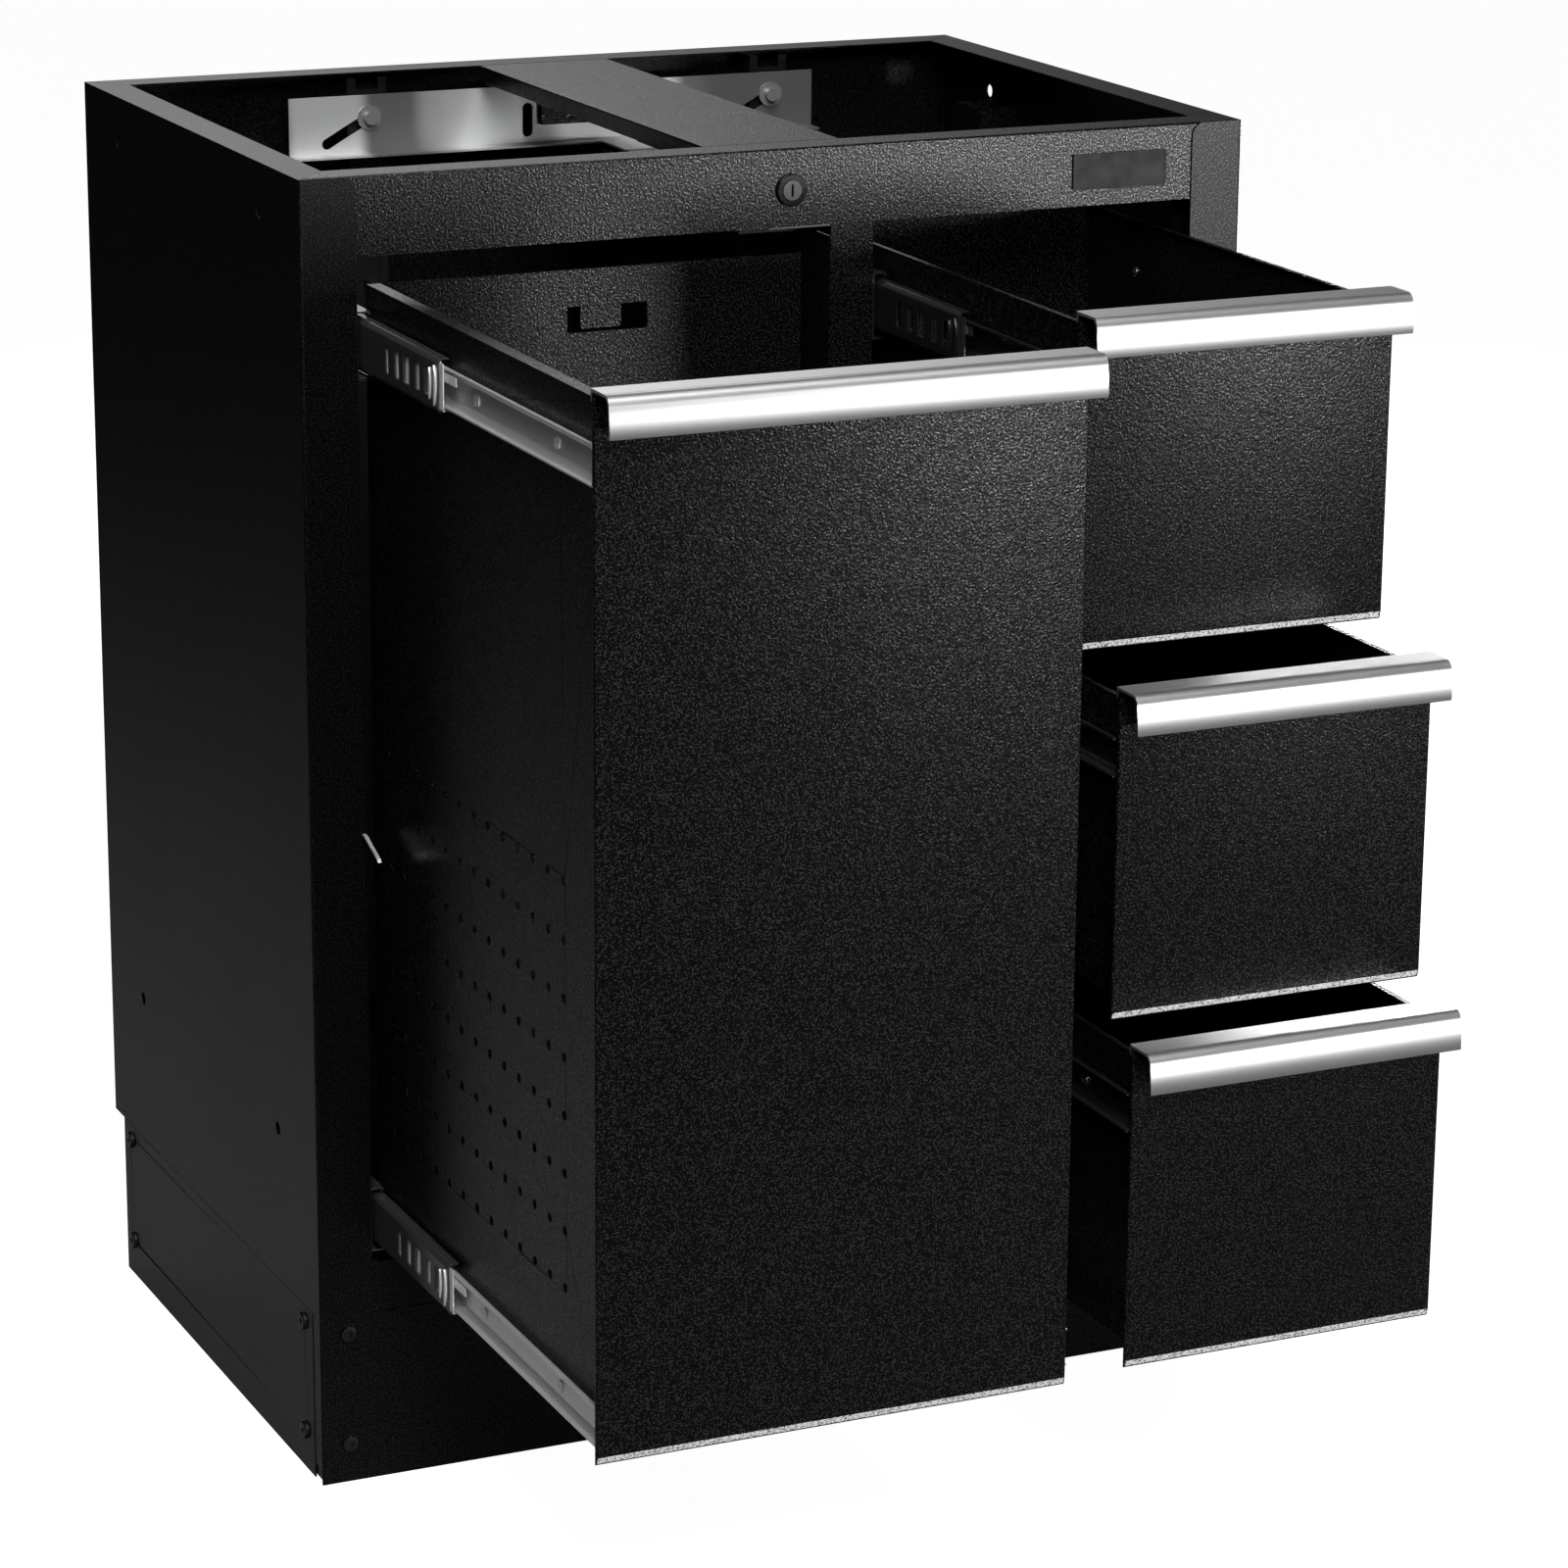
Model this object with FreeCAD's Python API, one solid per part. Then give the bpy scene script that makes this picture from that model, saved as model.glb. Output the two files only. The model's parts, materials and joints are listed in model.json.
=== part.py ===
"""Tool base cabinet: one tall pull-out and three drawers on ball-bearing slides, with a cam lock."""
import FreeCAD, Part
import math
import os
from collections import namedtuple

V = FreeCAD.Vector

# All sizes are in millimetres. The origin is on the floor, in the middle of the width, in the plane of
# the cabinet's front face. The front faces -Y and +Z is up.

# Cabinet shell
WIDTH = 680.0
DEPTH = 460.0
HEIGHT = 892.0
SHEET = 1.2
BEND_RADIUS = 1.8
FOLD_RADIUS = 1.1
POST_WIDTH = 38.0
POST_CORNER_RADIUS = 9.0
TOP_RAIL_HEIGHT = 52.0
TOP_RAIL_LIP = 15.0
HEM_GROOVE_WIDTH = 1.0
BOTTOM_RAIL_HEIGHT = 36.0
SIDE_FLANGE = 25.0
FRONT_FLANGE = 28.0
REAR_FLANGE = 26.0
REAR_RETURN = 15.0
BOTTOM_RETURN = 20.0
MITRE_GAP = 0.4
FIT_GAP = 0.3
RUNNING_GAP = 0.1

# Holes that join this cabinet to its neighbours
JOINING_HOLE_RADIUS = 4.75
JOINING_HOLE_FRONT = 80.0
JOINING_HOLE_REAR = 79.0
JOINING_HOLE_RISE = 111.0
JOINING_HOLE_DROP = 32.0

# Centre divider, columns behind the slides and the channel across the top
DIVIDER_LEFT = 31.5
DIVIDER_WIDTH = 32.0
DIVIDER_LAP = 15.0
COLUMN_WIDTH = 40.0
COLUMN_TOP_GAP = 36.0
CHANNEL_WIDTH = 100.0
CHANNEL_DROP = 12.0
CHANNEL_TONGUE_WIDTH = 70.0
CHANNEL_TONGUE_LENGTH = 18.0
HANGER_WIDTH = 48.0
HANGER_CENTRE = 21.0
HANGER_DROP = 46.0
HANGER_HOLE_RADIUS = 2.0

# Plinth
PLINTH_HEIGHT = 120.0
PLINTH_WING = 13.0
PLINTH_SEAM = 2.2
PLINTH_NOTCH = 11.0
PLINTH_REAR_INSET = 21.0
PLINTH_RETURN = 14.0
BRACKET_LEG = 45.0
PLINTH_SCREW_INSET = 20.0
PLINTH_SCREW_RISE = 28.0
PLINTH_SCREW_DROP = 12.0
PLINTH_SCREW_SETBACK = 18.0

# Button-head screws of the plinth
BUTTON_RADIUS = 6.2
BUTTON_HEIGHT = 2.6
BUTTON_EDGE_RADIUS = 1.5
BUTTON_SHANK_RADIUS = 2.9
BUTTON_SHANK_LENGTH = 9.0
BUTTON_SOCKET_RADIUS = 2.0
BUTTON_SOCKET_DEPTH = 1.4

# Drawer fronts and their handle strips
POST_GAP = 5.5
DIVIDER_GAP = 7.5
FRONT_BOTTOM_GAP = 5.0
FRONT_TOP_GAP = 12.5
DRAWER_COUNT = 3
DRAWER_GAP = 7.0
FRONT_THICKNESS = 2.6
BEVEL_HEIGHT = 5.3
BEVEL_DEPTH = 2.1
HANDLE_WALL = 1.8
HANDLE_REACH = 24.4
HANDLE_FLAT = 16.5
HANDLE_CORNER = 6.5
HANDLE_HEIGHT = 25.5
HANDLE_BULGE = 1.6
HANDLE_FACE_MIDDLE = 0.64
HANDLE_LIP = 4.0
HANDLE_REAR_LEG = 7.5

# Boxes behind the fronts
BOX_REAR_GAP = 60.0
BOX_SHEET = 1.0
BOX_TOP_DROP = 8.5
PULLOUT_BOX_RISE = 4.0
PULLOUT_TOP_FLANGE = 10.0
PULLOUT_LOW_WALL = 100.0
DRAWER_BOX_RISE = 14.0
DRAWER_HEM = 3.5
BOX_FLANGE = 12.0
BACK_INSET = 1.0

# Perforation of the pull-out's walls
PERFORATION_RADIUS = 3.0
PERFORATION_ROWS = 8
PERFORATION_ROW_PITCH = 37.5
PERFORATION_COLUMN_PITCH = 25.0
PERFORATION_BOTTOM = 90.5
PERFORATION_FRONT = 67.5
PERFORATION_REAR = 20.0

# Slot in the pull-out's back wall, with the tongue that is lanced from it
SLOT_LEFT_INSET = 139.3
SLOT_WIDTH = 56.0
SLOT_HEIGHT = 17.0
SLOT_DROP = 42.0
TONGUE_INSET = 9.0
TONGUE_WIDTH = 29.5
TONGUE_STEP = 1.0
TONGUE_GAP = 1.5

# Ball-bearing slides
SLIDE_THICKNESS = 12.7
SLIDE_START = 3.0
SLIDE_STEEL = 1.2
OUTER_HEIGHT = 45.0
OUTER_DEPTH = 9.6
MID_HEIGHT = 35.5
MID_SHORTENED = 55.0
MID_OFFSET = 3.0
MID_DEPTH = 8.0
INNER_HEIGHT = 25.5
INNER_DEPTH = 7.3
CAGE_OFFSET = 4.6
CAGE_DEPTH = 5.6
CAGE_SHEET = 0.6
CAGE_LENGTH = 120.0
CAGE_LEAD = 6.0
CAGE_WINDOW = 14.0
CAGE_WINDOW_HEIGHT = 17.0
CAGE_WINDOW_PITCH = 20.0
MID_WINDOW_LENGTH = 12.0
MID_WINDOW_HEIGHT = 18.0
MID_WINDOW_PITCH = 22.0
MID_WINDOW_COUNT = 4
BALL_RADIUS = 1.5
SLIDE_DROP = 45.5
LOWER_SLIDE_RISE = 24.5

# Screws that hold the cabinet members, and fixings of the drawer members
SLIDE_SCREW_FRONT = 45.0
SLIDE_SCREW_REAR = 55.0
SLIDE_SCREW_HEAD_RADIUS = 3.5
SLIDE_SCREW_HEAD_HEIGHT = 1.4
SLIDE_SCREW_SHANK_RADIUS = 2.0
SLIDE_SCREW_LENGTH = 5.0
RAIL_FIXING_FRONT = 70.5
RAIL_FIXING_REAR = 69.5
RAIL_HEAD_RADIUS = 4.0
RAIL_HEAD_HEIGHT = 1.5
RAIL_SHANK_RADIUS = 2.0
RAIL_TAIL_RADIUS = 3.2
RAIL_TAIL_HEIGHT = 1.3

# How far each unit is still inside in this pose, and where its intermediate members start when closed
PULLOUT_INSIDE = 17.5
DRAWER_INSIDE = (121.0, 56.0, 26.0)
PULLOUT_MID_START = 56.0
DRAWER_MID_START = 19.5

# Badge plate and cam lock in the top rail
BADGE_WIDTH = 71.0
BADGE_HEIGHT = 24.5
BADGE_THICKNESS = 1.2
BADGE_CORNER_RADIUS = 1.6
BADGE_INSET = 20.0
BADGE_DROP = 28.7
LOCK_X = 2.0
LOCK_DROP = 27.5
BEZEL_RADIUS = 11.0
BEZEL_HEIGHT = 2.2
BEZEL_EDGE_RADIUS = 1.1
HOUSING_RADIUS = 9.3
HOUSING_LENGTH = 20.0
NUT_ACROSS_FLATS = 22.0
NUT_HEIGHT = 4.0
CORE_RADIUS = 6.6
CORE_CLEARANCE = 0.3
CORE_PROUD = 0.6
CORE_TAIL = 3.0
KEYWAY_LENGTH = 8.0
KEYWAY_WIDTH = 1.6
KEYWAY_DEPTH = 3.0
CAM_THICKNESS = 2.5
CAM_WIDTH = 13.0
CAM_PIN_RADIUS = 3.0
CAM_PIN_LENGTH = 6.5

# Lock plate, lock bars and their bolts
LOCK_TRAVEL = 28.0
PLATE_THICKNESS = 1.5
PLATE_LEFT_END = 60.75
PLATE_RIGHT_END = 34.25
PLATE_DROP = 60.0
PLATE_HEIGHT = 43.0
PLATE_LEDGE = 15.0
PLATE_REAR_GAP = 24.0
ARM_INSET = 9.5
ARM_WIDTH = 23.0
ARM_END_DEPTH = 12.0
TAB_WIDTH = 22.0
TAB_HEIGHT = 30.0
TAB_GAP = 2.75
SLOT_RISE = 0.552
SLOT_RADIUS = 4.0
SLOT_SPARE = 4.0
PIN_SLOT_PLAY = 0.9
SPARE_SLOT_HEIGHT = 25.0
LOCK_CHANNEL_WIDTH = 29.5
LOCK_CHANNEL_DEPTH = 18.8
LOCK_CHANNEL_LIP = 6.25
LOCK_CHANNEL_TOP = 5.0
BAR_THICKNESS = 3.0
BAR_TOP_GAP = 14.0
BAR_RISE = 34.0
BOLT_DROP = 33.5
BOLT_SHANK_RADIUS = 3.2
WASHER_RADIUS = 9.0
WASHER_THICKNESS = 1.2
BOLT_HEAD_RADIUS = 4.8
BOLT_HEAD_HEIGHT = 4.5

# Hooks of the lock bars and catches on the backs of the boxes
CATCH_DROP = 110.0
CATCH_WIDTH = 14.0
CATCH_SHEET = 2.0
CATCH_LIP = 20.0
CATCH_REACH = 16.0
HOOK_WIDTH = 8.0
HOOK_THICKNESS = 3.0
HOOK_LIP = 16.0
HOOK_CLEARANCE = 3.0

# Places that follow from the sizes above
HALF_WIDTH = WIDTH / 2
INSIDE_X = HALF_WIDTH - SHEET
OPENING_X = HALF_WIDTH - POST_WIDTH
OPENING_BOTTOM = PLINTH_HEIGHT + BOTTOM_RAIL_HEIGHT
OPENING_TOP = HEIGHT - TOP_RAIL_HEIGHT
BACK_Y = DEPTH - SHEET
TOP_UNDERSIDE = HEIGHT - SHEET
DIVIDER_RIGHT = DIVIDER_LEFT + DIVIDER_WIDTH
FRONT_BOTTOM = OPENING_BOTTOM + FRONT_BOTTOM_GAP
FRONT_TOP = OPENING_TOP - FRONT_TOP_GAP
DRAWER_HEIGHT = (FRONT_TOP - FRONT_BOTTOM - (DRAWER_COUNT - 1) * DRAWER_GAP) / DRAWER_COUNT
BOX_DEPTH = DEPTH - BOX_REAR_GAP
SLIDE_LENGTH = BOX_DEPTH
MID_LENGTH = SLIDE_LENGTH - MID_SHORTENED
SLIDE_SCREW_POSITIONS = (SLIDE_SCREW_FRONT, SLIDE_LENGTH - SLIDE_SCREW_REAR)
RAIL_FIXING_LAST = SLIDE_LENGTH - RAIL_FIXING_REAR
RAIL_FIXING_POSITIONS = (RAIL_FIXING_FRONT, (RAIL_FIXING_FRONT + RAIL_FIXING_LAST) / 2, RAIL_FIXING_LAST)
PERFORATION_COLUMNS = 1 + int((BOX_DEPTH - PERFORATION_FRONT - PERFORATION_REAR) // PERFORATION_COLUMN_PITCH)
COLUMN_TOP = HEIGHT - COLUMN_TOP_GAP
JOINING_HOLES_Y = (JOINING_HOLE_FRONT, DEPTH - JOINING_HOLE_REAR)
JOINING_HOLES_Z = (PLINTH_HEIGHT + JOINING_HOLE_RISE, HEIGHT - JOINING_HOLE_DROP)
LOCK_Z = HEIGHT - LOCK_DROP
RAIL_FACE_Y = SHEET
CAM_Y = RAIL_FACE_Y + HOUSING_LENGTH + CORE_TAIL
TAB_Y = CAM_Y + CAM_THICKNESS + TAB_GAP
LOCK_AXES_X = ((-OPENING_X + DIVIDER_LEFT) / 2, (OPENING_X + DIVIDER_RIGHT) / 2)
PLATE_LEFT = LOCK_AXES_X[0] - PLATE_LEFT_END
PLATE_RIGHT = LOCK_AXES_X[1] + PLATE_RIGHT_END
PLATE_BOTTOM = HEIGHT - PLATE_DROP
PLATE_FACE_Y = DEPTH - PLATE_REAR_GAP
ARM_LEFT = DIVIDER_LEFT + ARM_INSET
BAR_TOP = HEIGHT - BAR_TOP_GAP
BAR_BOTTOM = OPENING_BOTTOM + BAR_RISE
BOLT_HEIGHT = HEIGHT - BOLT_DROP
CHANNEL_FACE_Y = BACK_Y - LOCK_CHANNEL_DEPTH
BAR_Y = CHANNEL_FACE_Y + SHEET + FIT_GAP
PLINTH_REAR_Y = DEPTH - PLINTH_REAR_INSET
PLINTH_SIDE_START = PLINTH_WING + PLINTH_SEAM
PLINTH_SCREW_HEIGHTS = (PLINTH_SCREW_RISE, PLINTH_HEIGHT - PLINTH_SCREW_DROP)

Unit = namedtuple(
    "Unit", "left right left_gap right_gap bottom top left_slides right_slides opened mid_start"
)


def box(x0, x1, y0, y1, z0, z1):
    """Box between two corners."""
    return Part.makeBox(x1 - x0, y1 - y0, z1 - z0, V(x0, y0, z0))


def side_box(plane, side, a0, a1, y0, y1, z0, z1):
    """Box whose x limits are distances from an upright plane, to the side that the sign gives."""
    xa, xb = sorted((plane + side * a0, plane + side * a1))
    return box(xa, xb, y0, y1, z0, z1)


def join(pieces):
    """One clean solid from pieces that touch or overlap."""
    return pieces[0].multiFuse(pieces[1:]).removeSplitter()


def cut(shape, tools):
    """The shape less every tool."""
    return shape.cut(Part.makeCompound(tools))


def cylinder(centre, axis, radius, length):
    """Cylinder from a point along an axis."""
    return Part.makeCylinder(radius, length, centre, axis)


def drill(point, axis, radius, length):
    """Cutting cylinder centred on a point of a thin wall."""
    start = point - axis * (length / 2)
    return cylinder(start, axis, radius, length)


def prism(points, direction):
    """Closed outline pushed along a direction."""
    wire = Part.makePolygon(points + points[:1])
    return Part.Face(wire).extrude(direction)


def stadium(x0, z0, x1, z1, radius, y, depth):
    """Cutting tool for a slot with round ends, between two centres in an upright wall."""
    length = math.hypot(x1 - x0, z1 - z0)
    across = V(-(z1 - z0), 0, x1 - x0) * (radius / length)
    start, end = V(x0, y, z0), V(x1, y, z1)
    middle = prism([start + across, end + across, end - across, start - across], V(0, depth, 0))
    ends = [cylinder(point, V(0, 1, 0), radius, depth) for point in (start, end)]
    return join([middle] + ends)


def round_edges(shape, radius, chosen):
    """Fillet the straight edges whose end points all pass the test."""
    edges = [edge for edge in shape.Edges if all(chosen(vertex.Point) for vertex in edge.Vertexes)]
    return shape.makeFillet(radius, edges)


def near(value, target):
    """True when two coordinates are the same place."""
    return abs(value - target) < 0.01


def mirrored(shape):
    """The same shape on the other side of the middle plane."""
    return shape.mirror(V(0, 0, 0), V(1, 0, 0))


def joining_points(x):
    """Centres of the four joining holes in the side at x."""
    return [V(x, y, z) for y in JOINING_HOLES_Y for z in JOINING_HOLES_Z]


def side_panel():
    """Left side panel: web, front post, mitred top flange, rear and bottom returns."""
    web = box(-HALF_WIDTH, -INSIDE_X, 0, DEPTH, PLINTH_HEIGHT, HEIGHT)
    post = box(-HALF_WIDTH, -OPENING_X, 0, SHEET, PLINTH_HEIGHT, HEIGHT)
    post = round_edges(
        post, POST_CORNER_RADIUS, lambda p: near(p.x, -OPENING_X) and near(p.z, HEIGHT)
    )
    flange = prism(
        [
            V(-HALF_WIDTH, 0, TOP_UNDERSIDE),
            V(-HALF_WIDTH + SIDE_FLANGE, FRONT_FLANGE, TOP_UNDERSIDE),
            V(-HALF_WIDTH + SIDE_FLANGE, DEPTH - REAR_FLANGE, TOP_UNDERSIDE),
            V(-HALF_WIDTH, DEPTH, TOP_UNDERSIDE),
        ],
        V(0, 0, SHEET),
    )
    rear = box(-INSIDE_X, -HALF_WIDTH + REAR_RETURN, BACK_Y - SHEET, BACK_Y, PLINTH_HEIGHT, TOP_UNDERSIDE)
    foot_x, foot_z = -HALF_WIDTH + BOTTOM_RETURN, PLINTH_HEIGHT
    foot = box(-INSIDE_X, foot_x, 3 * SHEET, BACK_Y - SHEET, foot_z, foot_z + SHEET)
    panel = join([web, post, flange, rear, foot])
    panel = round_edges(
        panel, BEND_RADIUS, lambda p: near(p.x, -HALF_WIDTH) and near(p.y, 0)
    )
    points = joining_points(-HALF_WIDTH)
    return cut(panel, [drill(point, V(1, 0, 0), JOINING_HOLE_RADIUS, 6 * SHEET) for point in points])


def mitred_strip(outer_y, inner_y, start_y, z0, z1):
    """Flange across the width that is cut along the mitre lines of its two corners."""
    slope = SIDE_FLANGE / abs(inner_y - outer_y)
    outer_x = HALF_WIDTH - MITRE_GAP - slope * abs(start_y - outer_y)
    inner_x = HALF_WIDTH - SIDE_FLANGE - MITRE_GAP
    corners = ((-outer_x, start_y), (outer_x, start_y), (inner_x, inner_y), (-inner_x, inner_y))
    return prism([V(x, y, z0) for x, y in corners], V(0, 0, z1 - z0))


def back_panel():
    """Back sheet with its top flange."""
    sheet = box(-INSIDE_X, INSIDE_X, BACK_Y, DEPTH, PLINTH_HEIGHT, HEIGHT)
    flange = mitred_strip(DEPTH, DEPTH - REAR_FLANGE, DEPTH - SHEET, TOP_UNDERSIDE, HEIGHT)
    return join([sheet, flange])


def top_front_rail():
    """Front rail: web, hemmed top edge with its groove, top flange and bottom lip."""
    face_y, rear_y = RAIL_FACE_Y, RAIL_FACE_Y + SHEET
    groove_y = rear_y + HEM_GROOVE_WIDTH
    web = box(-INSIDE_X, INSIDE_X, face_y, rear_y, OPENING_TOP, HEIGHT)
    hem_end = groove_y + SHEET
    hem_x = HALF_WIDTH - SIDE_FLANGE
    hem = box(-hem_x, hem_x, rear_y, hem_end, TOP_UNDERSIDE - SHEET, TOP_UNDERSIDE)
    flange = mitred_strip(0, FRONT_FLANGE, groove_y, TOP_UNDERSIDE, HEIGHT)
    lip = box(-OPENING_X, OPENING_X, face_y, face_y + TOP_RAIL_LIP, OPENING_TOP, OPENING_TOP + SHEET)
    rail = join([web, hem, flange, lip])
    rail = round_edges(rail, FOLD_RADIUS, lambda p: near(p.y, face_y) and near(p.z, HEIGHT))
    notch_x0, notch_x1 = DIVIDER_LEFT - FIT_GAP, DIVIDER_RIGHT + FIT_GAP
    notch = box(notch_x0, notch_x1, rear_y, rear_y + TOP_RAIL_LIP, OPENING_TOP, OPENING_TOP + SHEET)
    lock_hole = cylinder(V(LOCK_X, face_y, LOCK_Z), V(0, 1, 0), HOUSING_RADIUS + RUNNING_GAP, SHEET)
    return cut(rail, [notch, lock_hole])


def bottom_panel():
    """Cabinet floor whose front flange is the bottom rail."""
    rear_y = BACK_Y - SHEET
    floor = box(-INSIDE_X, INSIDE_X, SHEET, rear_y, OPENING_BOTTOM - SHEET, OPENING_BOTTOM)
    front = box(-INSIDE_X, INSIDE_X, SHEET, 2 * SHEET, PLINTH_HEIGHT, OPENING_BOTTOM)
    rear = box(-INSIDE_X, INSIDE_X, rear_y - SHEET, rear_y, PLINTH_HEIGHT + SHEET, OPENING_BOTTOM)
    sides = [
        side_box(side * INSIDE_X, -side, 0, SHEET, 3 * SHEET, rear_y, PLINTH_HEIGHT + SHEET, OPENING_BOTTOM)
        for side in (-1, 1)
    ]
    return join([floor, front, rear] + sides)


def screw_holes(plane, side, heights, positions, radius, reach):
    """Cutting cylinders through the steel on both sides of a plane."""
    return [
        cylinder(V(plane - side * reach, y, z), V(side, 0, 0), radius, 2 * reach)
        for z in heights
        for y in positions
    ]


def slide_planes():
    """Every upright plane that carries cabinet members, with the side that the slide lies on."""
    planes = []
    for unit in UNITS:
        planes += [(unit.left, 1, unit.left_slides), (unit.right, -1, unit.right_slides)]
    return planes


def fixing_holes_at(plane):
    """Holes for the slide screws in whatever stands at this plane."""
    holes, radius = [], SLIDE_SCREW_SHANK_RADIUS
    for where, side, heights in slide_planes():
        if near(where, plane):
            holes += screw_holes(plane, side, heights, SLIDE_SCREW_POSITIONS, radius, 2 * SHEET)
    return holes


def centre_divider():
    """Upright between the bays: front flange, two walls that carry slides, rear flange."""
    top = PLATE_BOTTOM - FIT_GAP
    front_y, front_top = 2 * SHEET, OPENING_TOP + DIVIDER_LAP
    front = box(DIVIDER_LEFT, DIVIDER_RIGHT, front_y, front_y + SHEET, OPENING_BOTTOM, front_top)
    walls = [
        side_box(plane, side, 0, SHEET, front_y, BACK_Y, OPENING_BOTTOM, top)
        for plane, side in ((DIVIDER_LEFT, 1), (DIVIDER_RIGHT, -1))
    ]
    divider = join([front] + walls)
    return cut(divider, fixing_holes_at(DIVIDER_LEFT) + fixing_holes_at(DIVIDER_RIGHT))


def slide_column(side, y):
    """Channel that carries cabinet members in front of a side panel."""
    y0, y1 = y - COLUMN_WIDTH / 2, y + COLUMN_WIDTH / 2
    z0, z1 = OPENING_BOTTOM, COLUMN_TOP
    face = side_box(side * OPENING_X, side, 0, SHEET, y0, y1, z0, z1)
    depth = INSIDE_X - OPENING_X
    legs = [
        side_box(side * OPENING_X, side, 0, depth, start, start + SHEET, z0, z1) for start in (y0, y1 - SHEET)
    ]
    return cut(join([face] + legs), fixing_holes_at(side * OPENING_X))


def top_cross_channel():
    """Channel from the front rail to the back panel, with tongues under both and a rear hanger."""
    half = CHANNEL_WIDTH / 2
    y0, y1 = FRONT_FLANGE + 2 * FIT_GAP, DEPTH - REAR_FLANGE - 2 * FIT_GAP
    top = box(-half, half, y0, y1, TOP_UNDERSIDE, HEIGHT)
    sides = [
        side_box(side * half, -side, 0, SHEET, y0, y1, HEIGHT - CHANNEL_DROP, HEIGHT) for side in (-1, 1)
    ]
    tongue_half = CHANNEL_TONGUE_WIDTH / 2
    under = TOP_UNDERSIDE - SHEET
    tongues = [
        box(-tongue_half, tongue_half, y0 - CHANNEL_TONGUE_LENGTH, y0 + 2 * SHEET, under, TOP_UNDERSIDE),
        box(-tongue_half, tongue_half, y1 - 2 * SHEET, y1 + REAR_FLANGE - 2 * SHEET, under, TOP_UNDERSIDE),
    ]
    hanger_left = HANGER_CENTRE - HANGER_WIDTH / 2
    hanger = box(hanger_left, hanger_left + HANGER_WIDTH, y1 - SHEET, y1, HEIGHT - HANGER_DROP, HEIGHT)
    hole_z = HEIGHT - HANGER_DROP + 3 * HANGER_HOLE_RADIUS
    hole = drill(V(HANGER_CENTRE, y1, hole_z), V(0, 1, 0), HANGER_HOLE_RADIUS, 6 * SHEET)
    channel = join([top, hanger] + sides + tongues)
    for x in (-half, half):
        channel = round_edges(channel, FOLD_RADIUS, lambda p: near(p.x, x) and near(p.z, HEIGHT))
    return cut(channel, [hole])


def plinth_screw_points():
    """Head seats of the plinth's screws, each with the direction in which its shank goes in."""
    points = []
    for z in PLINTH_SCREW_HEIGHTS:
        for side in (-1, 1):
            for y in (PLINTH_SIDE_START + PLINTH_SCREW_SETBACK, PLINTH_REAR_Y - PLINTH_SCREW_SETBACK):
                points.append((V(side * HALF_WIDTH, y, z), V(-side, 0, 0)))
            x = side * (HALF_WIDTH - PLINTH_SCREW_INSET)
            points.append((V(x, 0, z), V(0, 1, 0)))
            points.append((V(x, PLINTH_REAR_Y, z), V(0, -1, 0)))
    return points


def plinth_holes():
    """Clearance holes for the plinth's screws."""
    return [
        cylinder(point, inward, BUTTON_SHANK_RADIUS, 4 * SHEET)
        for point, inward in plinth_screw_points()
    ]


def plinth_front():
    """Plinth front: face, side wings cut back at the floor, top and bottom returns."""
    face = box(-HALF_WIDTH, HALF_WIDTH, 0, SHEET, 0, PLINTH_HEIGHT)
    wings = [
        side_box(side * HALF_WIDTH, -side, 0, SHEET, 0, PLINTH_WING, PLINTH_NOTCH, PLINTH_HEIGHT)
        for side in (-1, 1)
    ]
    inner = OPENING_X
    returns = [
        box(-inner, inner, 0, PLINTH_RETURN, z, z + SHEET) for z in (0, PLINTH_HEIGHT - SHEET)
    ]
    plinth = join([face] + wings + returns)
    for x in (-HALF_WIDTH, HALF_WIDTH):
        plinth = round_edges(plinth, FOLD_RADIUS, lambda p: near(p.x, x) and near(p.y, 0))
    return cut(plinth, plinth_holes())


def plinth_side():
    """Left plinth panel with inward returns at its top and bottom."""
    y0, y1 = PLINTH_SIDE_START, PLINTH_REAR_Y - SHEET
    face = box(-HALF_WIDTH, -INSIDE_X, y0, y1, 0, PLINTH_HEIGHT)
    inset = BRACKET_LEG + PLINTH_SIDE_START
    returns = [
        box(-HALF_WIDTH, -HALF_WIDTH + PLINTH_RETURN, inset, y1 - BRACKET_LEG, z, z + SHEET)
        for z in (0, PLINTH_HEIGHT - SHEET)
    ]
    return cut(join([face] + returns), plinth_holes())


def plinth_rear():
    """Rear plinth panel with forward returns at its top and bottom."""
    y0, y1 = PLINTH_REAR_Y - SHEET, PLINTH_REAR_Y
    face = box(-HALF_WIDTH, HALF_WIDTH, y0, y1, 0, PLINTH_HEIGHT)
    returns = [
        box(-OPENING_X, OPENING_X, y1 - PLINTH_RETURN, y1, z, z + SHEET) for z in (0, PLINTH_HEIGHT - SHEET)
    ]
    return cut(join([face] + returns), plinth_holes())


def plinth_bracket(side, wall_y, inward):
    """Corner bracket whose legs lie behind two plinth panels."""
    z0, z1 = 2 * SHEET, PLINTH_HEIGHT - 2 * SHEET
    reach = BRACKET_LEG + (PLINTH_SIDE_START if inward > 0 else 0)
    ya, yb = sorted((wall_y, wall_y + inward * reach))
    along_side = side_box(side * INSIDE_X, -side, 0, SHEET, ya, yb, z0, z1)
    ya, yb = sorted((wall_y, wall_y + inward * SHEET))
    across = side_box(side * INSIDE_X, -side, 0, INSIDE_X - OPENING_X - FIT_GAP, ya, yb, z0, z1)
    return cut(join([along_side, across]), plinth_holes())


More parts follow.
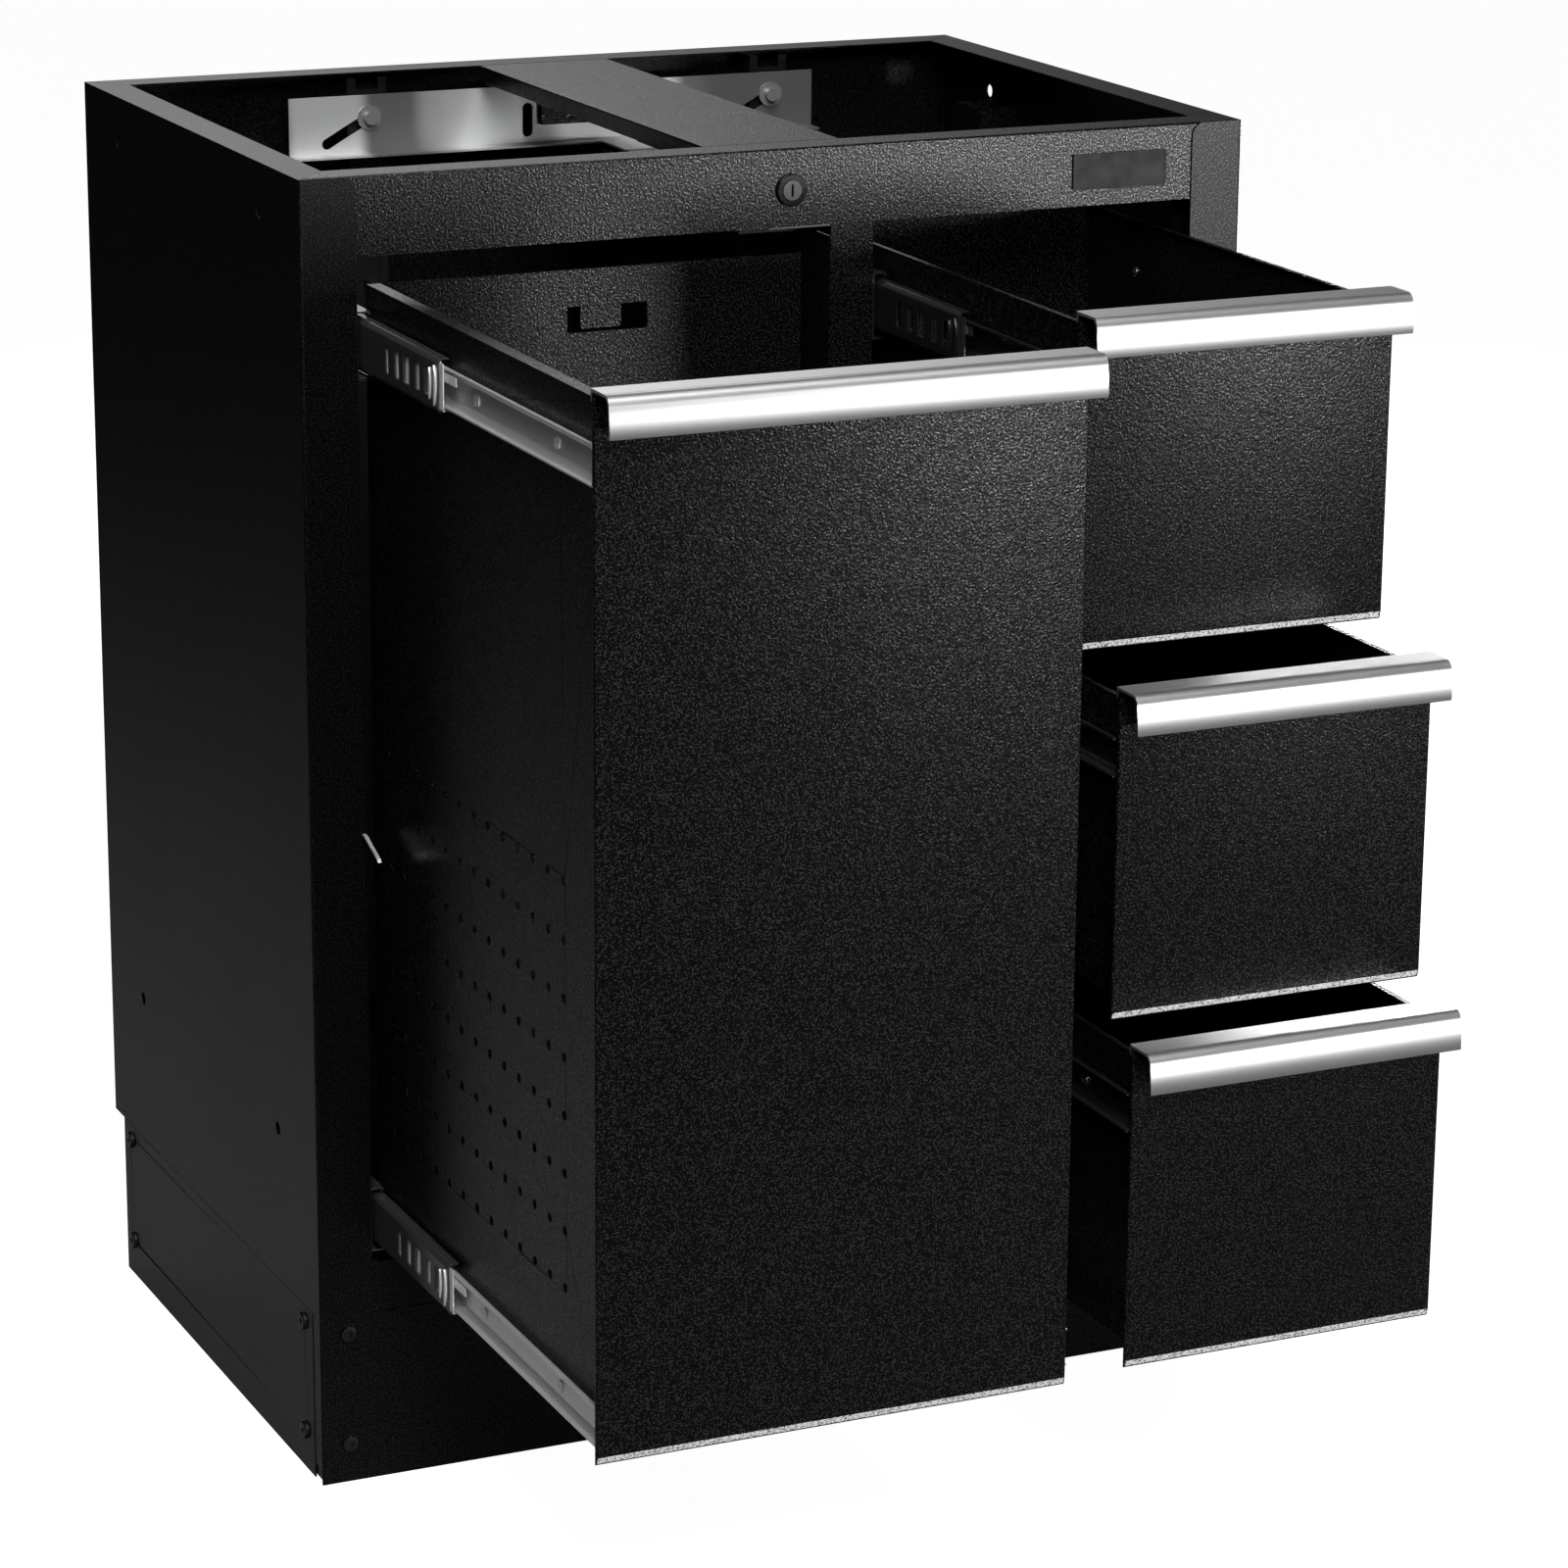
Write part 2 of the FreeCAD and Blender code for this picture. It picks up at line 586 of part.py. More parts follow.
def plinth_corner_brackets():
    """The four corner brackets of the plinth."""
    corners = [(side, SHEET, 1) for side in (-1, 1)] + [(side, PLINTH_REAR_Y - SHEET, -1) for side in (-1, 1)]
    return [plinth_bracket(side, wall_y, inward) for side, wall_y, inward in corners]


def button_screw(point, inward):
    """Button-head screw with a hexagon socket, its head on the point."""
    shank = cylinder(point, inward, BUTTON_SHANK_RADIUS, BUTTON_SHANK_LENGTH)
    head = Part.makeCylinder(BUTTON_RADIUS, BUTTON_HEIGHT, point, inward * -1)
    rim = [edge for edge in head.Edges if edge.Closed and edge.CenterOfMass.distanceToPoint(point) > 1.0]
    head = head.makeFillet(BUTTON_EDGE_RADIUS, rim)
    socket_start = point - inward * (BUTTON_HEIGHT - BUTTON_SOCKET_DEPTH)
    socket = cylinder(socket_start, inward * -1, BUTTON_SOCKET_RADIUS, BUTTON_SOCKET_DEPTH)
    return cut(join([shank, head]), [socket])


def badge_plate():
    """Bare plate with rounded corners on the front rail."""
    x1 = OPENING_X - BADGE_INSET
    x0 = x1 - BADGE_WIDTH
    z0 = HEIGHT - BADGE_DROP - BADGE_HEIGHT / 2
    plate = box(x0, x1, RAIL_FACE_Y - BADGE_THICKNESS, RAIL_FACE_Y, z0, z0 + BADGE_HEIGHT)
    corners = [edge for edge in plate.Edges if near(edge.Length, BADGE_THICKNESS)]
    return plate.makeFillet(BADGE_CORNER_RADIUS, corners)


def front_outline_x(unit):
    """Left and right ends of a unit's front."""
    return unit.left + unit.left_gap, unit.right - unit.right_gap


def front_panel(unit):
    """Hemmed front sheet whose bottom edge is bevelled, in its place when closed."""
    x0, x1 = front_outline_x(unit)
    outline = [
        V(x0, 0, unit.top - HANDLE_WALL),
        V(x0, 0, unit.bottom + BEVEL_HEIGHT),
        V(x0, BEVEL_DEPTH, unit.bottom),
        V(x0, FRONT_THICKNESS, unit.bottom),
        V(x0, FRONT_THICKNESS, unit.top - HANDLE_WALL),
    ]
    return prism(outline, V(x1 - x0, 0, 0))


def handle_strip(unit):
    """Aluminium strip over the top edge of a front: flat top, round corner, bulged face, inner lip."""
    x0, x1 = front_outline_x(unit)

    def at(forward, down):
        return V(x0, -forward, unit.top - down)

    wall, low = HANDLE_WALL, HANDLE_HEIGHT
    rear = -FRONT_THICKNESS
    corner_in = HANDLE_CORNER - wall
    face_x, face_in = HANDLE_REACH - HANDLE_BULGE, HANDLE_REACH - HANDLE_BULGE - wall
    half = math.sqrt(0.5)
    middle = (HANDLE_CORNER + low - wall) / 2
    span_x, span_in = face_x - HANDLE_FLAT, face_in - HANDLE_FLAT
    outer_mid = at(HANDLE_FLAT + span_x * half, HANDLE_CORNER * (1 - half))
    inner_mid = at(HANDLE_FLAT + span_in * half, wall + corner_in * (1 - half))
    line = Part.makeLine
    edges = [
        line(at(rear - wall, 0), at(HANDLE_FLAT, 0)),
        Part.Arc(at(HANDLE_FLAT, 0), outer_mid, at(face_x, HANDLE_CORNER)).toShape(),
        Part.Arc(
            at(face_x, HANDLE_CORNER),
            at(HANDLE_REACH - HANDLE_FACE_MIDDLE, middle),
            at(HANDLE_REACH, low - wall),
        ).toShape(),
        line(at(HANDLE_REACH, low - wall), at(HANDLE_REACH, low)),
        line(at(HANDLE_REACH, low), at(HANDLE_REACH - HANDLE_LIP, low)),
        line(at(HANDLE_REACH - HANDLE_LIP, low), at(HANDLE_REACH - HANDLE_LIP, low - wall)),
        line(at(HANDLE_REACH - HANDLE_LIP, low - wall), at(HANDLE_REACH - wall, low - wall)),
        Part.Arc(
            at(HANDLE_REACH - wall, low - wall),
            at(HANDLE_REACH - wall - HANDLE_FACE_MIDDLE, middle),
            at(face_in, HANDLE_CORNER),
        ).toShape(),
        Part.Arc(at(face_in, HANDLE_CORNER), inner_mid, at(HANDLE_FLAT, wall)).toShape(),
        line(at(HANDLE_FLAT, wall), at(rear, wall)),
        line(at(rear, wall), at(rear, HANDLE_REAR_LEG)),
        line(at(rear, HANDLE_REAR_LEG), at(rear - wall, HANDLE_REAR_LEG)),
        line(at(rear - wall, HANDLE_REAR_LEG), at(rear - wall, 0)),
    ]
    return Part.Face(Part.Wire(edges)).extrude(V(x1 - x0, 0, 0))


def box_limits(unit, rise):
    """Outer limits of the box behind a front, when closed."""
    x0, x1 = unit.left + SLIDE_THICKNESS, unit.right - SLIDE_THICKNESS
    y0, y1 = FRONT_THICKNESS, FRONT_THICKNESS + BOX_DEPTH
    return x0, x1, y0, y1, unit.bottom + rise, unit.top - BOX_TOP_DROP


def rail_fixing_holes(unit, plane, side):
    """Holes in a box wall for the fixings of its drawer members."""
    heights = unit.left_slides if side > 0 else unit.right_slides
    return screw_holes(plane, side, heights, RAIL_FIXING_POSITIONS, RAIL_SHANK_RADIUS, 2 * BOX_SHEET)


def pullout_wall(unit, side):
    """Folded side wall when closed: full and perforated on the left, low on the right."""
    x0, x1, y0, y1, z0, z1 = box_limits(unit, PULLOUT_BOX_RISE)
    full = side > 0
    plane = x0 if full else x1
    top = z1 if full else z0 + PULLOUT_LOW_WALL
    t = BOX_SHEET
    parts = [
        side_box(plane, side, 0, t, y0, y1, z0, top),
        side_box(plane, side, 0, PULLOUT_TOP_FLANGE, y0, y1 - BACK_INSET - t, top - t, top),
        side_box(plane, side, 0, BOX_FLANGE, y0, y1 - BACK_INSET - t, z0, z0 + t),
        side_box(plane, side, 0, BOX_FLANGE, y0, y0 + t, z0, top),
    ]
    holes = rail_fixing_holes(unit, plane, side)
    if full:
        holes += perforation(plane, unit.bottom + PERFORATION_BOTTOM)
    return cut(join(parts), holes)


def perforation(plane, low):
    """Cutting cylinders in rows and columns for a perforated wall, from its lowest row up."""
    return [
        drill(
            V(plane, PERFORATION_FRONT + i * PERFORATION_COLUMN_PITCH, low + j * PERFORATION_ROW_PITCH),
            V(1, 0, 0),
            PERFORATION_RADIUS,
            6 * BOX_SHEET,
        )
        for i in range(PERFORATION_COLUMNS)
        for j in range(PERFORATION_ROWS)
    ]


def catch(unit, back_y):
    """Catch on the back of a box: shelf with an upright lip for the hook of the lock bar."""
    x = (unit.left + unit.right) / 2
    x0, x1 = x - CATCH_WIDTH / 2, x + CATCH_WIDTH / 2
    top = unit.top - CATCH_DROP
    shelf_z = top - CATCH_LIP
    shelf = box(x0, x1, back_y, back_y + CATCH_REACH, shelf_z, shelf_z + CATCH_SHEET)
    lip = box(x0, x1, back_y + CATCH_REACH - CATCH_SHEET, back_y + CATCH_REACH, shelf_z, top)
    return [shelf, lip]


def pullout_back(unit):
    """Back wall of the pull-out with its slot, tongue, edge flange and catch, when closed."""
    x0, x1, y0, y1, z0, z1 = box_limits(unit, PULLOUT_BOX_RISE)
    t = BOX_SHEET
    wall_y = y1 - BACK_INSET - t
    wall = box(x0 + t, x1 - t, wall_y, wall_y + t, z0, z1)
    slot_x0 = x0 + SLOT_LEFT_INSET
    slot_z = z1 - SLOT_DROP
    slot_top = slot_z + SLOT_HEIGHT
    opening = box(slot_x0, slot_x0 + SLOT_WIDTH, wall_y - t, wall_y + 2 * t, slot_z, slot_top)
    tongue_x0 = slot_x0 + TONGUE_INSET
    step = wall_y + TONGUE_STEP
    tongue = box(tongue_x0, tongue_x0 + TONGUE_WIDTH, step, step + t, slot_z + TONGUE_GAP, slot_top + t)
    flange = box(x1 - 2 * t, x1 - t, wall_y, y1, z0 + PULLOUT_LOW_WALL, z1)
    return join([cut(wall, [opening]), tongue, flange] + catch(unit, wall_y + t))


def pullout_floor(unit):
    """Floor of the pull-out between the bottom flanges of its walls, when closed."""
    x0, x1, y0, y1, z0, z1 = box_limits(unit, PULLOUT_BOX_RISE)
    t = BOX_SHEET
    return box(x0 + t, x1 - t, y0 + t, y1 - BACK_INSET - t, z0 + t, z0 + 2 * t)


def drawer_tray(unit):
    """Floor and side walls of a drawer in one folded sheet, with hemmed top edges, when closed."""
    x0, x1, y0, y1, z0, z1 = box_limits(unit, DRAWER_BOX_RISE)
    t = BOX_SHEET
    parts = [box(x0, x1, y0, y1 - BACK_INSET - t, z0, z0 + t)]
    for plane, side in ((x0, 1), (x1, -1)):
        parts.append(side_box(plane, side, 0, t, y0, y1, z0, z1))
        parts.append(side_box(plane, side, 0, DRAWER_HEM, y0, y1 - BACK_INSET - t, z1 - t, z1))
        parts.append(side_box(plane, side, 0, BOX_FLANGE, y0, y0 + t, z0, z1))
    holes = rail_fixing_holes(unit, x0, 1) + rail_fixing_holes(unit, x1, -1)
    return cut(join(parts), holes)


def drawer_back(unit):
    """Back wall of a drawer with its catch, when closed."""
    x0, x1, y0, y1, z0, z1 = box_limits(unit, DRAWER_BOX_RISE)
    t = BOX_SHEET
    wall_y = y1 - BACK_INSET - t
    wall = box(x0 + t, x1 - t, wall_y, wall_y + t, z0, z1)
    return join([wall] + catch(unit, wall_y + t))


def unit_rails(unit):
    """Each slide of a unit as its plane, side and height."""
    left = [(unit.left, 1, z) for z in unit.left_slides]
    return left + [(unit.right, -1, z) for z in unit.right_slides]


def outer_rail(plane, side, z):
    """Cabinet member of a slide: web and two flanges with turned edges."""
    half, t = OUTER_HEIGHT / 2, SLIDE_STEEL
    y0, y1 = SLIDE_START, SLIDE_START + SLIDE_LENGTH
    parts = [side_box(plane, side, 0, t, y0, y1, z - half, z + half)]
    for low in (z - half, z + half - t):
        parts.append(side_box(plane, side, 0, OUTER_DEPTH, y0, y1, low, low + t))
    for low in (z - half, z + half - 2 * t):
        parts.append(side_box(plane, side, OUTER_DEPTH - t, OUTER_DEPTH, y0, y1, low, low + 2 * t))
    holes = screw_holes(plane, side, [z], SLIDE_SCREW_POSITIONS, SLIDE_SCREW_SHANK_RADIUS, 2 * SHEET)
    return cut(join(parts), holes)


def mid_rail(plane, side, z, start):
    """Intermediate member: web with windows near its front end and two flanges, when closed."""
    half, t = MID_HEIGHT / 2, SLIDE_STEEL
    a0, a1 = MID_OFFSET, MID_OFFSET + MID_DEPTH
    y0, y1 = start, start + MID_LENGTH
    parts = [side_box(plane, side, a0, a0 + t, y0, y1, z - half, z + half)]
    for low in (z - half, z + half - t):
        parts.append(side_box(plane, side, a0, a1, y0, y1, low, low + t))
    windows = []
    for i in range(MID_WINDOW_COUNT):
        w0 = y0 + MID_WINDOW_LENGTH + i * MID_WINDOW_PITCH
        windows.append(
            side_box(plane, side, a0 - t, a0 + 2 * t, w0, w0 + MID_WINDOW_LENGTH,
                     z - MID_WINDOW_HEIGHT / 2, z + MID_WINDOW_HEIGHT / 2)
        )
    return cut(join(parts), windows)


def ball_cage(plane, side, z, start):
    """Ball cage between the intermediate and the drawer member, with windows and two rows of balls."""
    t = CAGE_SHEET
    row = (MID_HEIGHT / 2 - SLIDE_STEEL + INNER_HEIGHT / 2) / 2
    y0, y1 = start - CAGE_LEAD, start - CAGE_LEAD + CAGE_LENGTH
    a0, a1 = CAGE_OFFSET, CAGE_OFFSET + CAGE_DEPTH
    parts = [side_box(plane, side, a0, a0 + t, y0, y1, z - row - t / 2, z + row + t / 2)]
    for level in (z - row, z + row):
        parts.append(side_box(plane, side, a0, a1, y0, y1, level - t / 2, level + t / 2))
    cage = join(parts)
    count = int((CAGE_LENGTH - CAGE_WINDOW_PITCH / 2) // CAGE_WINDOW_PITCH)
    tools, balls = [], []
    ball_x = plane + side * (a0 + CAGE_DEPTH / 2 + t)
    for i in range(count):
        w0 = y0 + (CAGE_WINDOW_PITCH - CAGE_WINDOW) + i * CAGE_WINDOW_PITCH
        tools.append(
            side_box(plane, side, a0 - t, a0 + 2 * t, w0, w0 + CAGE_WINDOW,
                     z - CAGE_WINDOW_HEIGHT / 2, z + CAGE_WINDOW_HEIGHT / 2)
        )
        ball_y = w0 + CAGE_WINDOW / 2
        for level in (z - row, z + row):
            centre = V(ball_x, ball_y, level)
            tools.append(drill(centre, V(0, 0, 1), BALL_RADIUS + RUNNING_GAP, 4 * t))
            balls.append(Part.makeSphere(BALL_RADIUS, centre))
    return [cut(cage, tools)] + balls


def inner_rail(plane, side, z):
    """Drawer member: channel that opens towards the cabinet, when closed."""
    half, t = INNER_HEIGHT / 2, SLIDE_STEEL
    a0, a1 = SLIDE_THICKNESS - INNER_DEPTH, SLIDE_THICKNESS
    y0, y1 = SLIDE_START, SLIDE_START + SLIDE_LENGTH
    parts = [side_box(plane, side, a1 - t, a1, y0, y1, z - half, z + half)]
    for low in (z - half, z + half - t):
        parts.append(side_box(plane, side, a0, a1, y0, y1, low, low + t))
    box_plane = plane + side * a1
    holes = screw_holes(box_plane, side, [z], RAIL_FIXING_POSITIONS, RAIL_SHANK_RADIUS, 2 * BOX_SHEET)
    return cut(join(parts), holes)


def rail_fixing(plane, side, z, y):
    """Fixing of a drawer member: head in the channel, shank through the wall, flat tail inside."""
    seat = plane + side * (SLIDE_THICKNESS - SLIDE_STEEL)
    inside = plane + side * (SLIDE_THICKNESS + BOX_SHEET)
    axis = V(side, 0, 0)
    head = cylinder(V(seat - side * RAIL_HEAD_HEIGHT, y, z), axis, RAIL_HEAD_RADIUS, RAIL_HEAD_HEIGHT)
    shank = cylinder(V(seat, y, z), axis, RAIL_SHANK_RADIUS, SLIDE_STEEL + BOX_SHEET)
    tail = cylinder(V(inside, y, z), axis, RAIL_TAIL_RADIUS, RAIL_TAIL_HEIGHT)
    return join([head, shank, tail])


def rail_fixings(unit):
    """All fixings of a unit's drawer members."""
    return [rail_fixing(*rail, y) for rail in unit_rails(unit) for y in RAIL_FIXING_POSITIONS]


def slide_screw(plane, side, z, y):
    """Pan-head screw that holds a cabinet member."""
    axis = V(-side, 0, 0)
    seat = V(plane + side * SLIDE_STEEL, y, z)
    head = cylinder(seat, axis * -1, SLIDE_SCREW_HEAD_RADIUS, SLIDE_SCREW_HEAD_HEIGHT)
    shank = cylinder(seat, axis, SLIDE_SCREW_SHANK_RADIUS, SLIDE_SCREW_LENGTH)
    return join([head, shank])


def lock_housing():
    """Fixed body of the cam lock with its bezel, and the nut behind the rail."""
    y = RAIL_FACE_Y
    centre = V(LOCK_X, y, LOCK_Z)
    bezel = cylinder(centre, V(0, -1, 0), BEZEL_RADIUS, BEZEL_HEIGHT)
    rim = [edge for edge in bezel.Edges if edge.Closed and near(edge.CenterOfMass.y, y - BEZEL_HEIGHT)]
    bezel = bezel.makeFillet(BEZEL_EDGE_RADIUS, rim)
    barrel = cylinder(centre, V(0, 1, 0), HOUSING_RADIUS, HOUSING_LENGTH)
    bore_start = V(LOCK_X, y - BEZEL_HEIGHT, LOCK_Z)
    bore = cylinder(bore_start, V(0, 1, 0), CORE_RADIUS + CORE_CLEARANCE, BEZEL_HEIGHT + HOUSING_LENGTH)
    body = cut(join([bezel, barrel]), [bore])
    corner = NUT_ACROSS_FLATS / math.sqrt(3)
    nut_y = y + SHEET
    turns = [math.pi / 3 * i for i in range(6)]
    outline = [V(LOCK_X + corner * math.cos(turn), nut_y, LOCK_Z + corner * math.sin(turn)) for turn in turns]
    nut = prism(outline, V(0, NUT_HEIGHT, 0))
    nut = cut(nut, [cylinder(V(LOCK_X, nut_y, LOCK_Z), V(0, 1, 0), HOUSING_RADIUS, NUT_HEIGHT)])
    return [body, nut]


def lock_cylinder():
    """Turning core of the lock with its keyway."""
    y0 = RAIL_FACE_Y - BEZEL_HEIGHT - CORE_PROUD
    core = cylinder(V(LOCK_X, y0, LOCK_Z), V(0, 1, 0), CORE_RADIUS, CAM_Y - y0)
    keyway = box(
        LOCK_X - KEYWAY_WIDTH / 2, LOCK_X + KEYWAY_WIDTH / 2, y0, y0 + KEYWAY_DEPTH,
        LOCK_Z - KEYWAY_LENGTH / 2, LOCK_Z + KEYWAY_LENGTH / 2,
    )
    return cut(core, [keyway])


def cam_pin_place():
    """Centre of the cam's pin in this pose: as far to the left as it is below the axis."""
    return LOCK_X - LOCK_TRAVEL / 2, LOCK_Z - LOCK_TRAVEL / 2


def lock_cam():
    """Cam on the core's rear end with the pin that moves the lock plate."""
    pin_x, pin_z = cam_pin_place()
    radius = CAM_WIDTH / 2
    blade = stadium(LOCK_X, LOCK_Z, pin_x, pin_z, radius, CAM_Y, CAM_THICKNESS)
    pin = cylinder(V(pin_x, CAM_Y + CAM_THICKNESS, pin_z), V(0, 1, 0), CAM_PIN_RADIUS, CAM_PIN_LENGTH)
    return join([blade, pin])


def lock_plate():
    """Zinc plate with slotted upright, bottom ledge and the arm whose front tab the cam moves."""
    t = PLATE_THICKNESS
    z0, z1 = PLATE_BOTTOM, PLATE_BOTTOM + PLATE_HEIGHT
    rear_y = PLATE_FACE_Y + t
    upright = box(PLATE_LEFT, PLATE_RIGHT, PLATE_FACE_Y, rear_y, z0, z1)
    ledge = box(PLATE_LEFT, PLATE_RIGHT, PLATE_FACE_Y - PLATE_LEDGE, rear_y, z0, z0 + t)
    arm = box(ARM_LEFT, ARM_LEFT + ARM_WIDTH, TAB_Y, PLATE_FACE_Y, z0, z0 + t)
    pin_x, pin_z = cam_pin_place()
    tab_x0 = pin_x - TAB_WIDTH / 2
    foot = box(tab_x0, ARM_LEFT + ARM_WIDTH, TAB_Y, TAB_Y + ARM_END_DEPTH, z0, z0 + t)
    tab = box(tab_x0, tab_x0 + TAB_WIDTH, TAB_Y, TAB_Y + t, z0, z0 + TAB_HEIGHT)
    plate = join([upright, ledge, arm, foot, tab])
    low_z = LOCK_Z - math.hypot(LOCK_TRAVEL / 2, LOCK_TRAVEL / 2)
    slots = [stadium(pin_x, low_z, pin_x, pin_z, CAM_PIN_RADIUS + PIN_SLOT_PLAY, TAB_Y - t, 3 * t)]
    for x in LOCK_AXES_X:
        low = LOCK_TRAVEL + SLOT_SPARE
        slots.append(
            stadium(
                x - low, BOLT_HEIGHT - SLOT_RISE * low, x + SLOT_SPARE, BOLT_HEIGHT + SLOT_RISE * SLOT_SPARE,
                SLOT_RADIUS, PLATE_FACE_Y - t, 3 * t,
            )
        )
    spare_z = z0 + t + 2 * SLOT_RADIUS
    spare_top = spare_z + SPARE_SLOT_HEIGHT - 2 * SLOT_RADIUS
    slots.append(stadium(pin_x, spare_z, pin_x, spare_top, SLOT_RADIUS, PLATE_FACE_Y - t, 3 * t))
    return cut(plate, slots)


def lock_channel(x):
    """Lipped channel against the back panel that guides a lock bar."""
    half, t = LOCK_CHANNEL_WIDTH / 2, SHEET
    z0, z1 = OPENING_BOTTOM, HEIGHT - LOCK_CHANNEL_TOP
    y0 = CHANNEL_FACE_Y
    parts = [box(x - half, x + half, BACK_Y - t, BACK_Y, z0, z1)]
    for side in (-1, 1):
        parts.append(side_box(x + side * half, -side, 0, t, y0, BACK_Y, z0, z1))
        parts.append(side_box(x + side * half, -side, 0, LOCK_CHANNEL_LIP, y0, y0 + t, z0, z1))
    return join(parts)


def lock_bar(x, units):
    """Flat bar in its channel with one forward hook for each unit."""
    half = LOCK_CHANNEL_WIDTH / 2 - SHEET - FIT_GAP
    bar = box(x - half, x + half, BAR_Y, BAR_Y + BAR_THICKNESS, BAR_BOTTOM, BAR_TOP)
    parts = [bar]
    back_y = FRONT_THICKNESS + BOX_DEPTH - BACK_INSET
    hook_y = back_y + (CATCH_REACH - CATCH_SHEET - HOOK_THICKNESS) / 2
    for unit in units:
        lip_bottom = unit.top - CATCH_DROP + HOOK_CLEARANCE
        top = lip_bottom + HOOK_LIP + HOOK_THICKNESS
        x0, x1 = x - HOOK_WIDTH / 2, x + HOOK_WIDTH / 2
        parts.append(box(x0, x1, hook_y, BAR_Y, top - HOOK_THICKNESS, top))
        parts.append(box(x0, x1, hook_y, hook_y + HOOK_THICKNESS, lip_bottom, top))
    hole = drill(V(x, BAR_Y, BOLT_HEIGHT), V(0, 1, 0), BOLT_SHANK_RADIUS, 4 * BAR_THICKNESS)
    return cut(join(parts), [hole])


def lock_bolt(x):
    """Bolt with a washer that ties a lock bar to the slot of the plate."""
    axis = V(0, 1, 0)
    washer_y = PLATE_FACE_Y - FIT_GAP - WASHER_THICKNESS
    washer = cylinder(V(x, washer_y, BOLT_HEIGHT), axis, WASHER_RADIUS, WASHER_THICKNESS)
    head_y = washer_y - BOLT_HEAD_HEIGHT
    head = cylinder(V(x, head_y, BOLT_HEIGHT), axis, BOLT_HEAD_RADIUS, BOLT_HEAD_HEIGHT)
    shank = cylinder(V(x, washer_y, BOLT_HEIGHT), axis, BOLT_SHANK_RADIUS, BAR_Y + BAR_THICKNESS - washer_y)
    return join([head, washer, shank])


def opened(shapes, distance):
    """The shapes moved forward by a distance."""
    moved = []
    for shape in shapes:
        copy = shape.copy()
        copy.translate(V(0, -distance, 0))
        moved.append(copy)
    return moved


def drawer_unit(index):
    """Drawer number index from the top, in the right bay."""
    top = FRONT_TOP - index * (DRAWER_HEIGHT + DRAWER_GAP)
    slides = (top - SLIDE_DROP,)
    return Unit(
        DIVIDER_RIGHT, OPENING_X, DIVIDER_GAP, POST_GAP, top - DRAWER_HEIGHT, top,
        slides, slides, BOX_DEPTH - DRAWER_INSIDE[index], DRAWER_MID_START,
    )


PULLOUT = Unit(
    -OPENING_X, DIVIDER_LEFT, POST_GAP, DIVIDER_GAP, FRONT_BOTTOM, FRONT_TOP,
    (FRONT_TOP - SLIDE_DROP, FRONT_BOTTOM + LOWER_SLIDE_RISE), (FRONT_BOTTOM + LOWER_SLIDE_RISE,),
    BOX_DEPTH - PULLOUT_INSIDE, PULLOUT_MID_START,
)
DRAWERS = [drawer_unit(index) for index in range(DRAWER_COUNT)]
UNITS = [PULLOUT] + DRAWERS


def save(name, solids):
    """Write one sub-part, a solid or a group of separate solids."""
    shape = solids[0] if len(solids) == 1 else Part.makeCompound(solids)
    shape.exportStep("parts/" + name + ".step")
    print(name, len(shape.Solids), round(shape.Volume), shape.isValid())


def save_cabinet():
    """Write the fixed pieces."""
    left = side_panel()
    save("left_side_panel", [left])
    save("right_side_panel", [mirrored(left)])
    save("back_panel", [back_panel()])
    save("top_front_rail", [top_front_rail()])
    save("bottom_panel", [bottom_panel()])
    save("centre_divider", [centre_divider()])
    save("slide_columns", [slide_column(side, y) for side in (-1, 1) for y in SLIDE_SCREW_POSITIONS])
    save("top_cross_channel", [top_cross_channel()])
    save("plinth_front", [plinth_front()])
    plinth_left = plinth_side()
    save("plinth_left", [plinth_left])
    save("plinth_right", [mirrored(plinth_left)])
    save("plinth_rear", [plinth_rear()])
    save("plinth_corner_brackets", plinth_corner_brackets())
    save("panel_screws", [button_screw(point, inward) for point, inward in plinth_screw_points()])
    save("badge_plate", [badge_plate()])
    save("lock_housing", lock_housing())
    save("lock_channels", [lock_channel(x) for x in LOCK_AXES_X])


def save_slides():
    """Write the cabinet members, their screws, the intermediate members and the ball cages."""
    screws = []
    for unit in UNITS:
        for plane, side, z in unit_rails(unit):
            screws += [slide_screw(plane, side, z, y) for y in SLIDE_SCREW_POSITIONS]
    save("slide_screws", screws)
    names = ["pullout"] + ["drawer_%d" % (index + 1) for index in range(DRAWER_COUNT)]
    for name, unit in zip(names, UNITS):
        rails = unit_rails(unit)
        save(name + "_outer_rails", [outer_rail(*rail) for rail in rails])
        mids = [mid_rail(plane, side, z, unit.mid_start) for plane, side, z in rails]
        save(name + "_mid_rails", opened(mids, unit.opened / 2))
        cages = [piece for rail in rails for piece in ball_cage(*rail, unit.mid_start)]
        save(name + "_ball_cages", opened(cages, unit.opened / 2))


def save_pullout():
    """Write the pieces that move with the pull-out's front."""
    unit = PULLOUT
    pieces = {
        "pullout_front": [front_panel(unit)],
        "pullout_handle": [handle_strip(unit)],
        "pullout_left_wall": [pullout_wall(unit, 1)],
        "pullout_right_wall": [pullout_wall(unit, -1)],
        "pullout_back_wall": [pullout_back(unit)],
        "pullout_floor": [pullout_floor(unit)],
        "pullout_inner_rails": [inner_rail(*rail) for rail in unit_rails(unit)],
        "pullout_rail_screws": rail_fixings(unit),
    }
    for name, shapes in pieces.items():
        save(name, opened(shapes, unit.opened))


